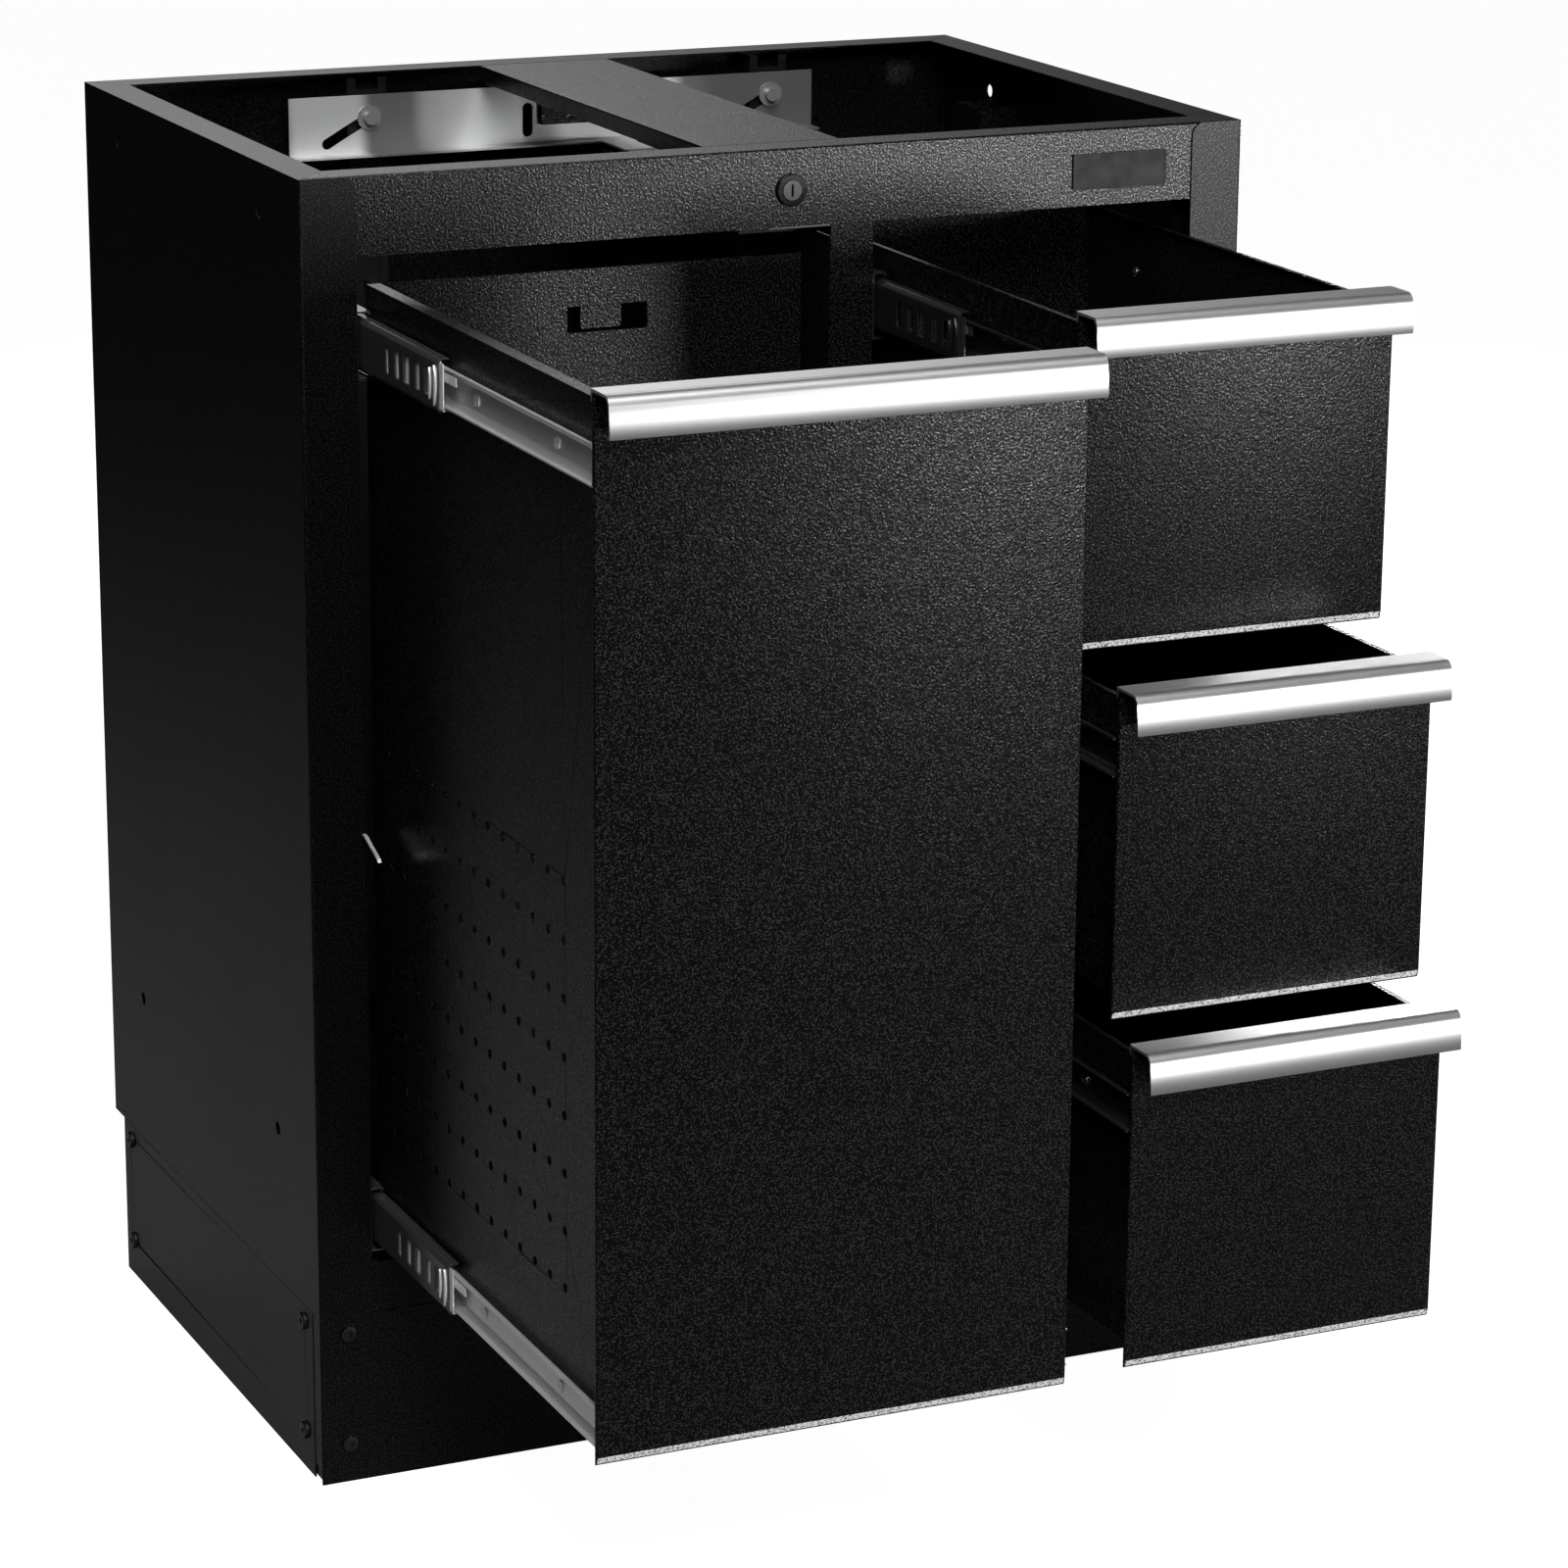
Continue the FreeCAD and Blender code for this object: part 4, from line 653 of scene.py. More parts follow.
class ScrewTree(PointTree):
    """Tree of screw heads, each with a recess."""

    sizes = {"Head Radius": 0.006, "Head Height": 0.0026, "Recess Radius": 0.002}
    # Each drum of the head: radius, low end and height as parts of the head's, and its taper.
    drums = ((0.868, 0.85, 0.15, 0.72), (0.985, 0.55, 0.3, 0.88), (1.0, 0.0, 0.55, 0.985))
    head_sides = 28
    recess_taper = 1.02

    def __init__(self, drive: Drive) -> None:
        """Build the tree.

        Args:
            drive: Recess of the head.
        """
        self.drive = drive
        super().__init__("screw_heads_" + drive.name.lower())

    def scaled(self, source: Socket, factor: float) -> Socket:
        """Socket that holds a multiple of another."""
        return self.node("ShaderNodeMath", {0: source, 1: factor}, operation="MULTIPLY").outputs[0]

    def raised(self, geometry: Socket, height: Socket, turn: float = 0.0) -> Socket:
        """Geometry lifted to a height and turned about z."""
        lift = self.node("ShaderNodeCombineXYZ", {"Z": height})
        move = self.node("GeometryNodeTransform", {"Geometry": geometry, "Rotation": (0.0, 0.0, turn),
                                                   "Translation": lift.outputs["Vector"]})
        return move.outputs["Geometry"]

    def drum(self, radius: Socket, low: Socket, height: Socket, taper: float, sides: int) -> Socket:
        """Tapered drum whose axis is z, from a height.

        Args:
            radius: Lower radius.
            low: Height of its lower end.
            height: Its own height.
            taper: Upper radius as a part of the lower one.
            sides: Number of sides.

        Returns:
            Its geometry.
        """
        cone = self.node("GeometryNodeMeshCone", {"Vertices": sides, "Radius Top": self.scaled(radius, taper),
                                                  "Radius Bottom": radius, "Depth": height})
        return self.raised(cone.outputs["Mesh"], low)

    def recesses(self, radius: Socket, height: Socket) -> list[Socket]:
        """What is cut out of the head: a hexagon or a cross of two bars."""
        low, deep = self.scaled(height, 0.45), self.scaled(height, 0.8)
        if self.drive is Drive.HEXAGON:
            return [self.drum(radius, low, deep, self.recess_taper, self.drive.value)]
        bars = []
        for turn in (0.0, math.pi / 2):
            size = self.node("ShaderNodeCombineXYZ", {"X": self.scaled(radius, 2.0),
                                                      "Y": self.scaled(radius, 0.45), "Z": deep})
            bar = self.node("GeometryNodeMeshCube", {"Size": size.outputs["Vector"]})
            bars.append(self.raised(bar.outputs["Mesh"], height, turn))
        return bars

    def thing(self) -> Socket:
        """Head with its recess."""
        radius, height, recess = (self.source.outputs[name] for name in self.sizes)
        head = self.node("GeometryNodeMeshBoolean", operation="UNION")
        for wide, low, high, taper in self.drums:
            drum = self.drum(self.scaled(radius, wide), self.scaled(height, low), self.scaled(height, high),
                             taper, self.head_sides)
            self.tree.links.new(drum, head.inputs["Mesh 2"])
        bored = self.node("GeometryNodeMeshBoolean", {"Mesh 1": head.outputs["Mesh"]}, operation="DIFFERENCE")
        for tool in self.recesses(recess, height):
            self.tree.links.new(tool, bored.inputs["Mesh 2"])
        return bored.outputs["Mesh"]


class BallTree(PointTree):
    """Tree of the balls of the cages."""

    sizes = {"Ball Radius": 0.0015}

    def thing(self) -> Socket:
        """One ball."""
        ball = self.node("GeometryNodeMeshIcoSphere", {"Subdivisions": 2,
                                                       "Radius": self.source.outputs["Ball Radius"]})
        return ball.outputs["Mesh"]


def grown(tree: PointTree, name: str, places: list[Placed], sizes: dict[str, float],
          material: Material) -> Mesh:
    """Run a tree on a set of places and keep its result as a plain mesh.

    Args:
        tree: The tree.
        name: Name of the result.
        places: Points in millimetres, each with its outward direction.
        sizes: Values of the tree's named inputs, in metres.
        material: Finish.

    Returns:
        The mesh.
    """
    seeds = bpy.data.meshes.new(name + "_seeds")
    seeds.from_pydata([mm(*spot) for spot, _ in places], [], [])
    outward = seeds.attributes.new("outward", "FLOAT_VECTOR", "POINT")
    for i, (_, direction) in enumerate(places):
        outward.data[i].vector = direction
    holder = in_scene(name + "_seeds", seeds)
    modifier = holder.modifiers.new("tree", "NODES")
    modifier.node_group = tree.tree
    for key, value in sizes.items():
        modifier[tree.inputs[key]] = value
    modifier[tree.inputs["Finish"]] = material
    mesh = plain_mesh(holder, name)
    holder.modifiers.remove(modifier)
    bpy.data.objects.remove(holder)
    if "outward" in mesh.attributes:
        mesh.attributes.remove(mesh.attributes["outward"])
    return mesh


@dataclass(frozen=True)
class Bay:
    """One front with its box: where it lies in the cabinet and how far it stands open, in millimetres."""

    name: str
    left: float
    right: float
    bottom: float
    top: float
    opened: float

    def forward(self, y: float) -> float:
        """Place of a closed y in the open pose."""
        return y - self.opened


@dataclass(frozen=True)
class Front:
    """Folded front sheet with rounded edges, a bevelled foot with a painted reflection strip, and handle
    strip, in millimetres.
    """

    bay: Bay
    thickness: float = 2.6
    edge_radius: float = 1.1
    back_radius: float = 0.3
    bevel_height: float = 5.3
    bevel_depth: float = 2.1
    foot_skin: float = 0.12
    foot_proud: float = 0.06
    foot_rise: float = 1.0
    foot_drop: float = 0.2
    handle_wall: float = 1.8
    handle_reach: float = 24.4
    handle_flat: float = 16.5
    handle_corner: float = 6.5
    handle_height: float = 25.5
    handle_lip: float = 4.0
    handle_rear_leg: float = 7.5
    handle_bulge: float = 1.6
    bulge_power: float = 1.45
    groove_depth: float = 0.22
    groove_width: float = 0.7
    groove_lead: float = 0.8
    groove_slope: float = 0.4
    groove_end: float = 0.12
    lip_ease: float = 0.35
    end_ease: float = 0.18
    steps: int = 12

    def sheet(self) -> Mesh:
        """Mesh of the front: a level section with rounded corners, drawn from the handle down to the bevel.

        Returns:
            The mesh.
        """
        bay, r = self.bay, self.edge_radius
        face, back = bay.forward(0.0), bay.forward(self.thickness)
        section = rounded([(bay.left, face), (bay.right, face), (bay.right, back), (bay.left, back)],
                          [r, r, self.back_radius, self.back_radius])
        fold = bay.bottom + self.bevel_height
        rows = [(bay.top - self.handle_wall, 0.0), (fold + 0.5, 0.0), (fold, 0.08),
                (bay.bottom + 0.3, self.bevel_depth - 0.1), (bay.bottom, self.bevel_depth + 0.05)]
        shape = bmesh.new()
        rings = []
        for z, inset in rows:
            rings.append([shape.verts.new(mm(x, min(max(y, face + inset), back), z)) for x, y in section])
        for upper, lower in zip(rings, rings[1:]):
            for i in range(len(section)):
                j = (i + 1) % len(section)
                shape.faces.new((upper[i], upper[j], lower[j], lower[i]))
        shape.faces.new(rings[0])
        shape.faces.new(rings[-1])
        return mesh_of(shape, bay.name + "_front_sheet")

    def foot(self) -> Mesh:
        """Mesh of the strip that lies on the front's lower bevel and carries its painted reflection."""
        bay, skin = self.bay, self.foot_skin
        face, fold = bay.forward(0.0), bay.bottom + self.bevel_height
        top, low = fold - self.foot_drop, bay.bottom + self.foot_rise
        near = face + self.foot_proud
        far = face + self.bevel_depth / self.bevel_height * (fold - low)
        section = [(near, top), (far, low), (far - skin, low), (near - skin, top)]
        shape = bmesh.new()
        start = bay.left + self.edge_radius
        add_prism(shape, [Vector(mm(start, y, z)) for y, z in section],
                  Vector(mm(bay.right - bay.left - 2 * self.edge_radius, 0, 0)))
        return mesh_of(shape, bay.name + "_foot_reflection_strip")

    def shoulder(self, wall: float, k: int) -> Point:
        """Point on the corner between the top and the face, at a depth into the wall."""
        span = self.handle_reach - self.handle_bulge - self.handle_flat
        turn = math.pi / 2 * k / self.steps
        return (self.handle_flat + (span - wall) * math.sin(turn),
                wall + (self.handle_corner - wall) * (1 - math.cos(turn)))

    def face_point(self, wall: float, k: int) -> Point:
        """Point on the bulging face, at a depth into the wall."""
        part = k / self.steps
        drop = self.handle_height - self.handle_wall - self.handle_corner
        return (self.handle_reach - wall - self.handle_bulge * (1 - part) ** self.bulge_power,
                self.handle_corner + drop * part)

    def profile(self) -> Outline:
        """Section of the handle strip: forward reach and drop below the top, as a closed outline."""
        wall, reach, low, lip = self.handle_wall, self.handle_reach, self.handle_height, self.lip_ease
        groove = self.handle_flat - self.groove_lead
        outline: Outline = [(-self.thickness - wall, 0.0), (groove - self.groove_slope, 0.0),
                            (groove, self.groove_depth), (groove + self.groove_width, self.groove_end)]
        outline += [self.shoulder(0.0, k) for k in range(1, self.steps + 1)]
        outline += [self.face_point(0.0, k) for k in range(1, self.steps + 1)]
        outline += [(reach, low - lip), (reach - lip, low), (reach - self.handle_lip, low),
                    (reach - self.handle_lip, low - wall), (reach - wall, low - wall)]
        outline += [self.face_point(wall, k) for k in range(self.steps - 1, 0, -1)]
        outline += [self.shoulder(wall, k) for k in range(self.steps, -1, -1)]
        return outline + [(-self.thickness, wall), (-self.thickness, self.handle_rear_leg),
                          (-self.thickness - wall, self.handle_rear_leg)]

    def strip(self) -> Mesh:
        """Mesh of the handle strip with its ends slightly eased.

        Returns:
            The mesh.
        """
        bay = self.bay
        shape = bmesh.new()
        outline = [mm(bay.left, bay.forward(-reach), bay.top - drop) for reach, drop in self.profile()]
        add_prism(shape, [Vector(spot) for spot in outline], Vector(mm(bay.right - bay.left, 0, 0)))
        ends = [edge for edge in shape.edges if abs(edge.verts[0].co.x - edge.verts[1].co.x) < 1e-7]
        bmesh.ops.bevel(shape, geom=ends, offset=self.end_ease / 1000, segments=1, affect="EDGES",
                        clamp_overlap=True)
        return mesh_of(shape, bay.name + "_handle_strip")

    def build(self, shop: Workshop) -> None:
        """Make and dress the front, its strip and its foot."""
        name = self.bay.name
        metal = CrownedStrip(self.bay.top / 1000).build()
        smooth, strip_smooth = 30.0, 28.0
        shop.finish(name + "_front_sheet", self.sheet(), Slot.TEXTURED, name, (name + "_front",), smooth)
        shop.finish(name + "_handle_strip", self.strip(), Slot.HANDLE, name, (name + "_handle",),
                    strip_smooth, metal)
        # The foot strip is painted pale and glowing as a painted reflection on the bevel.
        shop.finish(name + "_foot_reflection_strip", self.foot(), Slot.TEXTURED, name, (), strip_smooth,
                    shop.foot_reflection_material)


def carved(name: str, shape: Shape, tools: Shape) -> Mesh:
    """Cut one working mesh out of another.

    Args:
        name: Name of the result.
        shape: What is cut, which is freed.
        tools: What is taken away, which is freed.

    Returns:
        The mesh.
    """
    parts = ((shape, name), (tools, name + "_tools"))
    holders = [in_scene(label, mesh_of(part, label)) for part, label in parts]
    modifier = holders[0].modifiers.new("cut", "BOOLEAN")
    modifier.operation, modifier.solver, modifier.object = "DIFFERENCE", "EXACT", holders[1]
    mesh = plain_mesh(holders[0], name)
    holders[0].modifiers.remove(modifier)
    for holder in holders:
        bpy.data.objects.remove(holder)
    return mesh


@dataclass(frozen=True)
class Rail:
    """Place of one slide: the face that carries it, the side it is built up to, its middle height."""

    plane: float
    side: int
    height: float

    def spot(self, depth: float, y: float, rise: float) -> Vector:
        """Point at a depth from the cabinet's face, in metres."""
        return Vector(mm(self.plane + self.side * depth, y, self.height + rise))

    def sweep(self, shape: Shape, section: Outline, y0: float, y1: float) -> None:
        """Add a bar of a section of depths and rises between two places along the slide."""
        add_prism(shape, [self.spot(depth, y0, rise) for depth, rise in section], Vector(mm(0, y1 - y0, 0)))

    def block(self, shape: Shape, depths: Point, run: Point, rises: Point) -> None:
        """Add a box between two depths, two places along the slide and two rises."""
        (a, b), (low, high) = depths, rises
        self.sweep(shape, [(a, low), (b, low), (b, high), (a, high)], *run)

    def arc(self, shape: Shape, depths: Point, middle: Point, radius: float, band: float,
            half_angle: float) -> None:
        """Add a crescent that bulges forward.

        Args:
            shape: Working mesh.
            depths: Its two faces.
            middle: Place along the slide and rise of the circle's centre.
            radius: Outer radius.
            band: Width of the crescent at its middle.
            half_angle: Half of the angle that it spans, in degrees.
        """
        steps, thinning = 14, 0.75
        outer, inner = [], []
        for k in range(steps + 1):
            part = 2 * k / steps - 1
            turn = math.radians(half_angle) * part
            width = band * (1 - thinning * part ** 2)
            for line, reach in ((outer, radius), (inner, radius - width)):
                line.append((middle[0] - reach * math.cos(turn), middle[1] + reach * math.sin(turn)))
        points = outer + list(reversed(inner))
        push = Vector(mm(self.side * (depths[1] - depths[0]), 0, 0))
        add_prism(shape, [self.spot(depths[0], y, rise) for y, rise in points], push)


@dataclass(frozen=True)
class SlideSet:
    """All slides of one front, in millimetres: drawer and intermediate members, cages, balls, fixings."""

    body: str
    rails: tuple[Rail, ...]
    opened: float
    mid_start: float
    slot: Slot
    fixings_node: str = ""
    start: float = 3.0
    length: float = 400.0
    steel: float = 1.1
    inner_half: float = 12.68
    mid_half: float = 17.68
    mid_length: float = 345.0
    window_widths: tuple[float, ...] = (10.5, 8.0, 10.5, 8.0, 6.0)
    first_window: float = 13.0
    window_pitch: float = 18.5
    window_half: float = 8.6
    window_cut: Point = (1.0, 6.0)
    crescent_depths: Point = (2.1, 3.2)
    crescent_radius: float = 25.0
    crescent_edge: float = 0.25
    cage_lead: float = 6.0
    cage_length: float = 120.0
    cage_half: float = 14.9
    cage_web: Point = (4.62, 5.18)
    cage_wall_end: float = 10.15
    cage_wall_half: float = 0.28
    cage_wall_inset: float = 0.2
    ball_rise: float = 14.65
    ball_depth: float = 8.0
    pockets: int = 5
    first_pocket: float = 6.0
    pocket_pitch: float = 20.0
    pocket_length: float = 14.0
    pocket_half: float = 8.4
    pocket_cut: Point = (4.0, 6.0)
    tongue_length: float = 19.5
    tongue_room: float = 5.0
    tongue_overlap: float = 2.0
    tongue_depths: Point = (5.62, 6.3)
    tongue_rises: Point = (4.2, 9.8)
    fixing_places: tuple[float, ...] = (70.5, 200.5, 330.5)
    fixing_head_depth: float = 11.5
    fixing_tail_depth: float = 13.72

    @property
    def member_front(self) -> float:
        """Front end of the intermediate members in the open pose."""
        return self.mid_start - self.opened / 2

    @property
    def cage_front(self) -> float:
        """Front end of the cages in the open pose."""
        return self.member_front - self.cage_lead

    def inner(self) -> Mesh:
        """Mesh of the drawer members: a channel with a recessed web between two rolled races."""
        high = self.inner_half
        upper = [(5.5, high), (9.2, high), (11.2, 9.3), (12.62, 7.6)]
        path = upper + [(depth, -rise) for depth, rise in reversed(upper)]
        section = strip_outline(path, -self.steel, radius=1.6)
        shape = bmesh.new()
        for rail in self.rails:
            rail.sweep(shape, section, self.start - self.opened, self.start + self.length - self.opened)
        return mesh_of(shape, self.body + "_inner_members")

    def middle(self) -> Mesh:
        """Mesh of the intermediate members: rolled channels with stamped windows."""
        high, start = self.mid_half, self.member_front
        upper = [(10.9, high), (5.4, high), (3.08, 14.6)]
        path = upper + [(depth, -rise) for depth, rise in reversed(upper)]
        section = strip_outline(path, self.steel, radius=1.8)
        shape, tools = bmesh.new(), bmesh.new()
        for rail in self.rails:
            rail.sweep(shape, section, start, start + self.mid_length)
            for k, width in enumerate(self.window_widths):
                front = start + self.first_window + self.window_pitch * k
                rail.block(tools, self.window_cut, (front, front + width),
                           (-self.window_half, self.window_half))
        return carved(self.body + "_mid_members", shape, tools)

    def crescents(self) -> Mesh:
        """Mesh of the two crescents at the front end of each intermediate member."""
        shape = bmesh.new()
        for rail in self.rails:
            for behind, band, half_angle in ((26.0, 4.2, 31.0), (35.5, 3.4, 24.0)):
                middle = (self.member_front + behind, 0.0)
                rail.arc(shape, self.crescent_depths, middle, self.crescent_radius, band, half_angle)
        return mesh_of(shape, self.body + "_crescents", self.crescent_edge / 1000)

    def cages(self) -> Mesh:
        """Mesh of the ball cages with their pockets and the tongue that stands out in front."""
        start, end = self.cage_front, self.cage_front + self.cage_length
        tongue = min(self.tongue_length, self.mid_start - self.cage_lead - self.tongue_room)
        web = self.cage_web
        shape, tools = bmesh.new(), bmesh.new()
        for rail in self.rails:
            rail.block(shape, web, (start, end), (-self.cage_half, self.cage_half))
            for rise in (-self.ball_rise, self.ball_rise):
                rail.block(shape, (web[0], self.cage_wall_end),
                           (start + self.cage_wall_inset, end - self.cage_wall_inset),
                           (rise - self.cage_wall_half, rise + self.cage_wall_half))
            for k in range(self.pockets):
                front = start + self.first_pocket + self.pocket_pitch * k
                rail.block(tools, self.pocket_cut, (front, front + self.pocket_length),
                           (-self.pocket_half, self.pocket_half))
            rail.block(shape, self.tongue_depths, (start - tongue, start + self.tongue_overlap),
                       self.tongue_rises)
        return carved(self.body + "_cages", shape, tools)

    def ball_places(self) -> list[Placed]:
        """Centres of the balls, in two rows on each slide, beside the middles of the pockets."""
        first = self.cage_front + self.first_pocket + self.pocket_length / 2
        rows = [(k, rise) for k in range(self.pockets) for rise in (-self.ball_rise, self.ball_rise)]
        spots = [(rail.plane + rail.side * self.ball_depth, first + self.pocket_pitch * k, rail.height + rise)
                 for rail in self.rails for k, rise in rows]
        return [(spot, (0.0, 0.0, 1.0)) for spot in spots]

    def fixing_spots(self, depth: float, outward: int) -> list[Placed]:
        """Places of the fixings at a depth, looking to the cabinet or into the box."""
        return [((rail.plane + rail.side * depth, y - self.opened, rail.height),
                 (float(outward * rail.side), 0.0, 0.0))
                for rail in self.rails for y in self.fixing_places]

    def build(self, shop: Workshop, screws: ScrewTree, balls: BallTree) -> None:
        """Make and dress every member."""
        body, mid, slot = self.body, self.body + "_mid", self.slot
        web = trim = shop.materials[slot]
        steel = shop.materials[Slot.BOLT]
        smooth, ball_smooth = 32.0, 60.0
        if slot is Slot.ZINC:
            # The webs of the pull-out's intermediate members take zinc darkened as painted shade.
            web = shop.special[SHADED_ZINC]
            trim = steel = shop.special[BRIGHT_TIN]
        shop.finish(body + "_inner_members", self.inner(), slot, body, (body + "_inner_rails",), smooth)
        shop.finish(body + "_mid_members", self.middle(), slot, mid, (body + "_mid_rails",), smooth, web)
        shop.finish(body + "_crescents", self.crescents(), slot, mid, (), smooth, trim)
        shop.finish(body + "_cages", self.cages(), Slot.BOLT, mid, (body + "_ball_cages",), smooth, steel)
        mesh = grown(balls, body + "_balls", self.ball_places(), BALL, steel)
        shop.finish(body + "_balls", mesh, Slot.BOLT, mid, (), ball_smooth)
        spots = self.fixing_spots(self.fixing_head_depth, -1)
        heads = grown(screws, body + "_fixing_heads", spots, FIXING_HEAD, steel)
        spots = self.fixing_spots(self.fixing_tail_depth, 1)
        tails = grown(screws, body + "_fixing_tails", spots, FIXING_TAIL, steel)
        stands_for = (self.fixings_node,) if self.fixings_node else ()
        mesh = joined([heads, tails], body + "_fixings")
        shop.finish(body + "_fixings", mesh, Slot.BOLT, body, stands_for, material=steel)


def joined(meshes: list[Mesh], name: str) -> Mesh:
    """Several meshes as one."""
    shape = bmesh.new()
    for mesh in meshes:
        shape.from_mesh(mesh)
    result = bpy.data.meshes.new(name)
    shape.to_mesh(result)
    shape.free()
    return result


@dataclass(frozen=True)
class Lamp:
    """Soft rectangular lamp: where it hangs and looks, its sides, its power, its beam in degrees."""

    name: str
    place: Vec3
    target: Vec3
    width: float
    height: float
    power: float
    spread: float

    def build(self) -> None:
        """Hang the lamp."""
        data = bpy.data.lights.new(self.name, "AREA")
        data.shape = "RECTANGLE"
        data.size, data.size_y, data.energy = self.width, self.height, self.power
        data.spread = math.radians(self.spread)
        holder = in_scene(self.name, data)
        holder.location = self.place
        look = Vector(self.target) - Vector(self.place)
        holder.rotation_euler = look.to_track_quat("-Z", "Y").to_euler()


@dataclass(frozen=True)
class Studio:
    """Camera at the photograph's place, pale floor and backdrop, soft lamps."""

    camera_place: Vec3 = (-1.3787, -3.0178, 1.4162)
    aim: Vec3 = (-0.0614, -0.1341, 0.5003)
    lens: float = 116.5
    sensor: float = 36.0
    clip: Point = (0.05, 50.0)
    roll: float = 0.008
    floor_half: float = 9.0
    floor_grey: float = 0.2
    floor_glow: float = 0.97
    sky_on_object: float = 0.03
    sky_to_camera: float = 1.0
    lamps: tuple[Lamp, ...] = (
        Lamp("front_right", (2.5, -4.2, 0.62), (0.2, -0.1, 0.8), 1.2, 0.9, 15.0, 60.0),
        Lamp("front_top", (-1.0, -3.4, 3.0), (-0.1, 0.0, 0.6), 1.8, 1.2, 17.0, 60.0),
        Lamp("behind", (0.9, 3.4, 2.2), (0.0, 0.0, 0.9), 2.6, 1.4, 0.9, 30.0),
        Lamp("rear", (2.2, 3.6, 0.5), (0.0, 0.46, 0.4), 2.2, 0.7, 60.0, 80.0),
        Lamp("top", (-0.4, -1.0, 3.4), (0.0, -0.1, 0.8), 2.0, 2.0, 18.0, 60.0),
    )

    def camera(self) -> None:
        """Make the camera."""
        data = bpy.data.cameras.new("camera")
        data.lens, data.sensor_width = self.lens, self.sensor
        data.clip_start, data.clip_end = self.clip
        holder = in_scene("camera", data)
        holder.location = self.camera_place
        look = (Vector(self.aim) - Vector(self.camera_place)).to_track_quat("-Z", "Y").to_matrix()
        holder.rotation_euler = (look @ Matrix.Rotation(self.roll, 3, "Z")).to_euler()
        bpy.context.scene.camera = holder

    def floor(self) -> None:
        """Make the floor, whose colour to the camera is near white apart from the object's shadow."""
        shape = bmesh.new()
        half = self.floor_half
        corners = ((-half, -half), (half, -half), (half, half), (-half, half))
        shape.faces.new([shape.verts.new((x, y, 0.0)) for x, y in corners])
        mesh = bpy.data.meshes.new("floor")
        shape.to_mesh(mesh)
        shape.free()
        floor = in_scene("floor", mesh)
        material = bpy.data.materials.new("pale_floor")
        material.use_nodes = True
        tree = material.node_tree
        tree.nodes.clear()
        shader = add_node(tree, "ShaderNodeBsdfPrincipled", {"Base Color": (*[self.floor_grey] * 3, 1.0),
                                                             "Roughness": 0.9, "Specular IOR Level": 0.1})
        path = add_node(tree, "ShaderNodeLightPath")
        strength = add_node(tree, "ShaderNodeMath", {0: path.outputs["Is Camera Ray"], 1: self.floor_glow},
                            operation="MULTIPLY")
        glow = add_node(tree, "ShaderNodeEmission", {"Color": WHITE, "Strength": strength.outputs[0]})
        both = add_node(tree, "ShaderNodeAddShader", {0: shader.outputs["BSDF"], 1: glow.outputs["Emission"]})
        add_node(tree, "ShaderNodeOutputMaterial", {"Surface": both.outputs["Shader"]})
        mesh.materials.append(material)

    def world(self) -> None:
        """Make the world: white to the camera, plain pale light on the object."""
        world = bpy.data.worlds.new("studio")
        world.use_nodes = True
        tree = world.node_tree
        tree.nodes.clear()
        on_object, to_camera = [add_node(tree, "ShaderNodeBackground", {"Color": WHITE, "Strength": strength})
                                for strength in (self.sky_on_object, self.sky_to_camera)]
        seen = add_node(tree, "ShaderNodeLightPath").outputs["Is Camera Ray"]
        mix = add_node(tree, "ShaderNodeMixShader", {"Fac": seen, 1: on_object.outputs["Background"],
                                                     2: to_camera.outputs["Background"]})
        add_node(tree, "ShaderNodeOutputWorld", {"Surface": mix.outputs["Shader"]})
        bpy.context.scene.world = world

    def build(self) -> None:
        """Make everything round the object."""
        self.camera()
        self.floor()
        self.world()
        for lamp in self.lamps:
            lamp.build()
        bpy.context.scene.view_settings.view_transform = "Standard"


BAYS = (
    Bay("pullout", -296.5, 24.0, 161.0, 827.5, 382.5),
    Bay("drawer_1", 71.0, 296.5, 610.0, 827.5, 279.0),
    Bay("drawer_2", 71.0, 296.5, 385.5, 603.0, 344.0),
    Bay("drawer_3", 71.0, 296.5, 161.0, 378.5, 374.0),
)
LEFT_WALL, DIVIDER_LEFT, DIVIDER_RIGHT, RIGHT_WALL = -302.0, 31.5, 63.5, 302.0
DRAWER_MID_START = 19.5


def drawer_slides(name: str, height: float, opened: float) -> SlideSet:
    """Slides of one drawer, on the divider and on the right wall."""
    rails = (Rail(DIVIDER_RIGHT, 1, height), Rail(RIGHT_WALL, -1, height))
    return SlideSet(name, rails, opened, DRAWER_MID_START, Slot.DARK_SLIDE)


SLIDES = (
    SlideSet("pullout", (Rail(LEFT_WALL, 1, 782.0), Rail(LEFT_WALL, 1, 185.5), Rail(DIVIDER_LEFT, -1, 185.5)),
             BAYS[0].opened, 56.0, Slot.ZINC, "pullout_rail_screws"),
    drawer_slides("drawer_1", 782.0, BAYS[1].opened),
    drawer_slides("drawer_2", 557.5, BAYS[2].opened),
    drawer_slides("drawer_3", 333.0, BAYS[3].opened),
)
# Inputs of the trees, in metres.
BALL = {"Ball Radius": 0.0015}
FIXING_HEAD = {"Head Radius": 0.004, "Head Height": 0.0015, "Recess Radius": 0.0015}
FIXING_TAIL = {"Head Radius": 0.0032, "Head Height": 0.0013, "Recess Radius": 0.0008}
PLINTH_HEAD = {"Head Radius": 0.0062, "Head Height": 0.0026, "Recess Radius": 0.0024}
MEMBER_HEAD = {"Head Radius": 0.0035, "Head Height": 0.0014, "Recess Radius": 0.0013}
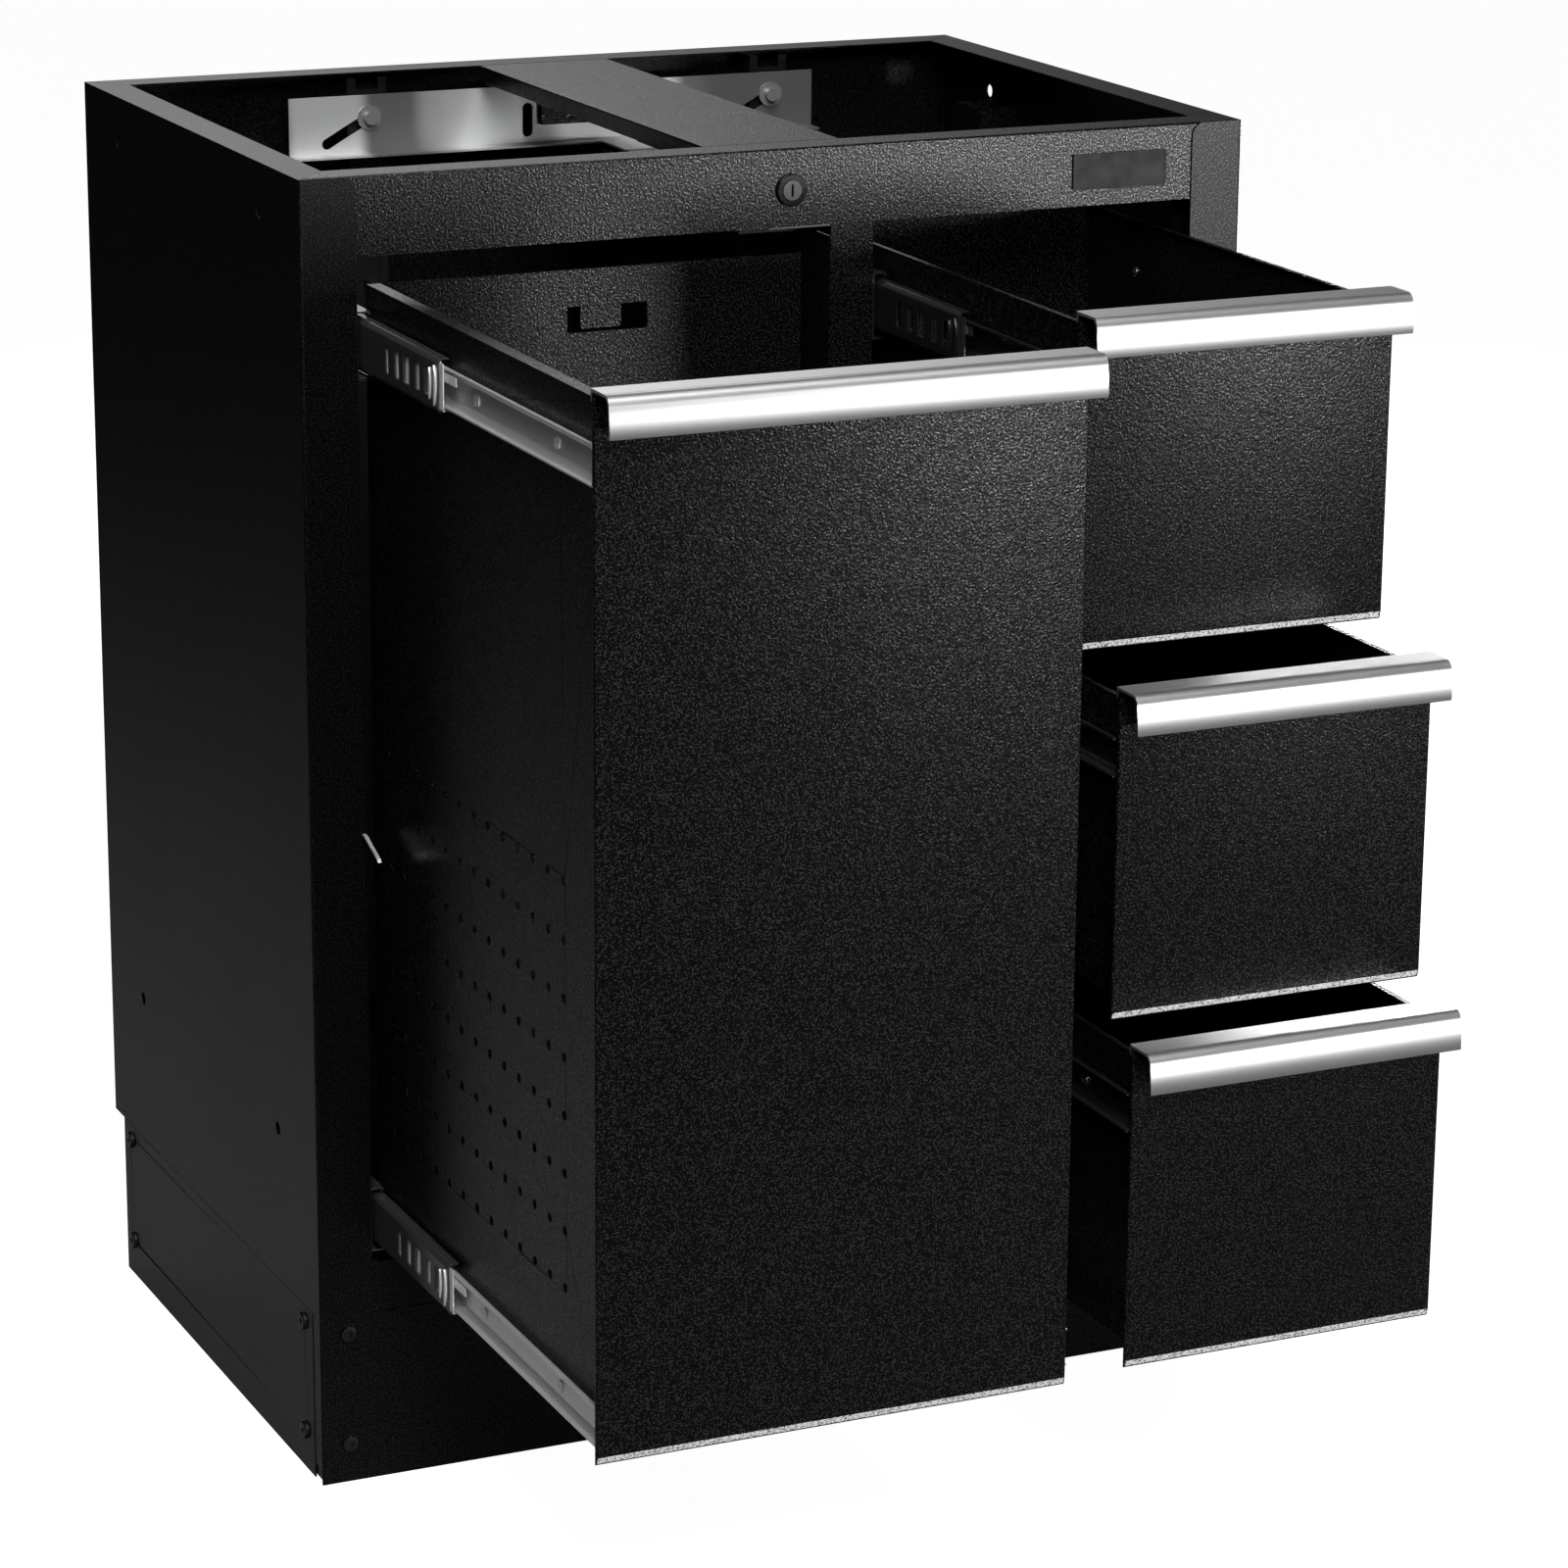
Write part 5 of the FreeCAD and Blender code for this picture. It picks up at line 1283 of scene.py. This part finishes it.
# Places of the cabinet's screws, in millimetres.
PLINTH_SCREW_HEIGHTS = (28.0, 108.0)
PLINTH_SIDE_X, PLINTH_SIDE_Y = 340.0, (33.2, 421.0)
PLINTH_END_X, PLINTH_FRONT_Y, PLINTH_REAR_Y = 320.0, 0.0, 439.0
MEMBER_SCREW_Y, MEMBER_SCREW_DEPTH = (45.0, 345.0), 1.2


def fitted_screws(shop: Workshop, screws: ScrewTree) -> None:
    """Make the button screws of the plinth and the pan-head screws of the cabinet members."""
    places: list[Placed] = []
    for z in PLINTH_SCREW_HEIGHTS:
        for side in (-1, 1):
            places += [((side * PLINTH_SIDE_X, y, z), (float(side), 0.0, 0.0)) for y in PLINTH_SIDE_Y]
            places += [((side * PLINTH_END_X, y, z), (0.0, turn, 0.0))
                       for y, turn in ((PLINTH_FRONT_Y, -1.0), (PLINTH_REAR_Y, 1.0))]
    mesh = grown(screws, "plinth_screws", places, PLINTH_HEAD, shop.materials[Slot.SCREW])
    shop.finish("plinth_screws", mesh, Slot.SCREW, "cabinet", ("panel_screws",), 30.0)
    places = [((rail.plane + rail.side * MEMBER_SCREW_DEPTH, y, rail.height), (float(rail.side), 0.0, 0.0))
              for group in SLIDES for rail in group.rails for y in MEMBER_SCREW_Y]
    mesh = grown(screws, "member_screws", places, MEMBER_HEAD, shop.materials[Slot.BOLT])
    shop.finish("member_screws", mesh, Slot.BOLT, "cabinet", ("slide_screws",), 30.0)


def framed(left: float, right: float, low: float, high: float, radius: float) -> Outline:
    """Rectangle with rounded corners, as across and height."""
    return rounded([(left, low), (right, low), (right, high), (left, high)], [radius] * 4, 4)


def badge_frame(shop: Workshop) -> None:
    """Make the fine raised border and the plate of the bare badge."""
    left, right, low, high = 211.0, 282.0, 851.05, 875.55
    radius, border = 1.6, 1.1
    back, face, deepest, tool_reach = 1.2, -0.15, 0.2, -1.0
    outer = framed(left, right, low, high, radius)
    inner = framed(left + border, right - border, low + border, high - border, radius / 2)
    shape, tools = bmesh.new(), bmesh.new()
    add_prism(shape, [Vector(mm(x, back, z)) for x, z in outer], Vector(mm(0, face - back, 0)))
    add_prism(tools, [Vector(mm(x, deepest, z)) for x, z in inner], Vector(mm(0, tool_reach, 0)))
    mesh = carved("badge_cover", shape, tools)
    shop.finish("badge_cover", mesh, Slot.BADGE, "cabinet", ("badge_plate",), 30.0)


def post_clip(shop: Workshop) -> None:
    """Make the small bright spring clip on the inner edge of the left post."""
    path = [(-1.2, 458.2), (-6.0, 457.2), (-29.0, 448.4), (-30.5, 446.4)]
    left, width, thickness, fold = -304.6, 2.4, 0.9, 1.6
    section = strip_outline(path, thickness, fold)
    shape = bmesh.new()
    add_prism(shape, [Vector(mm(left, y, z)) for y, z in section], Vector(mm(width, 0, 0)))
    shop.finish("post_clip", mesh_of(shape, "post_clip"), Slot.ZINC, "cabinet")


def main() -> None:
    """Build every piece in order."""
    logging.basicConfig(level=logging.INFO, format="%(name)s: %(message)s")
    shop = Workshop()
    shop.dress_nodes()
    for bay in BAYS:
        Front(bay).build(shop)
    hexagon, cross, balls = ScrewTree(Drive.HEXAGON), ScrewTree(Drive.CROSS), BallTree("cage_balls")
    for group in SLIDES:
        group.build(shop, cross, balls)
    fitted_screws(shop, hexagon)
    badge_frame(shop)
    post_clip(shop)
    Studio().build()


if __name__ == "__main__":
    main()
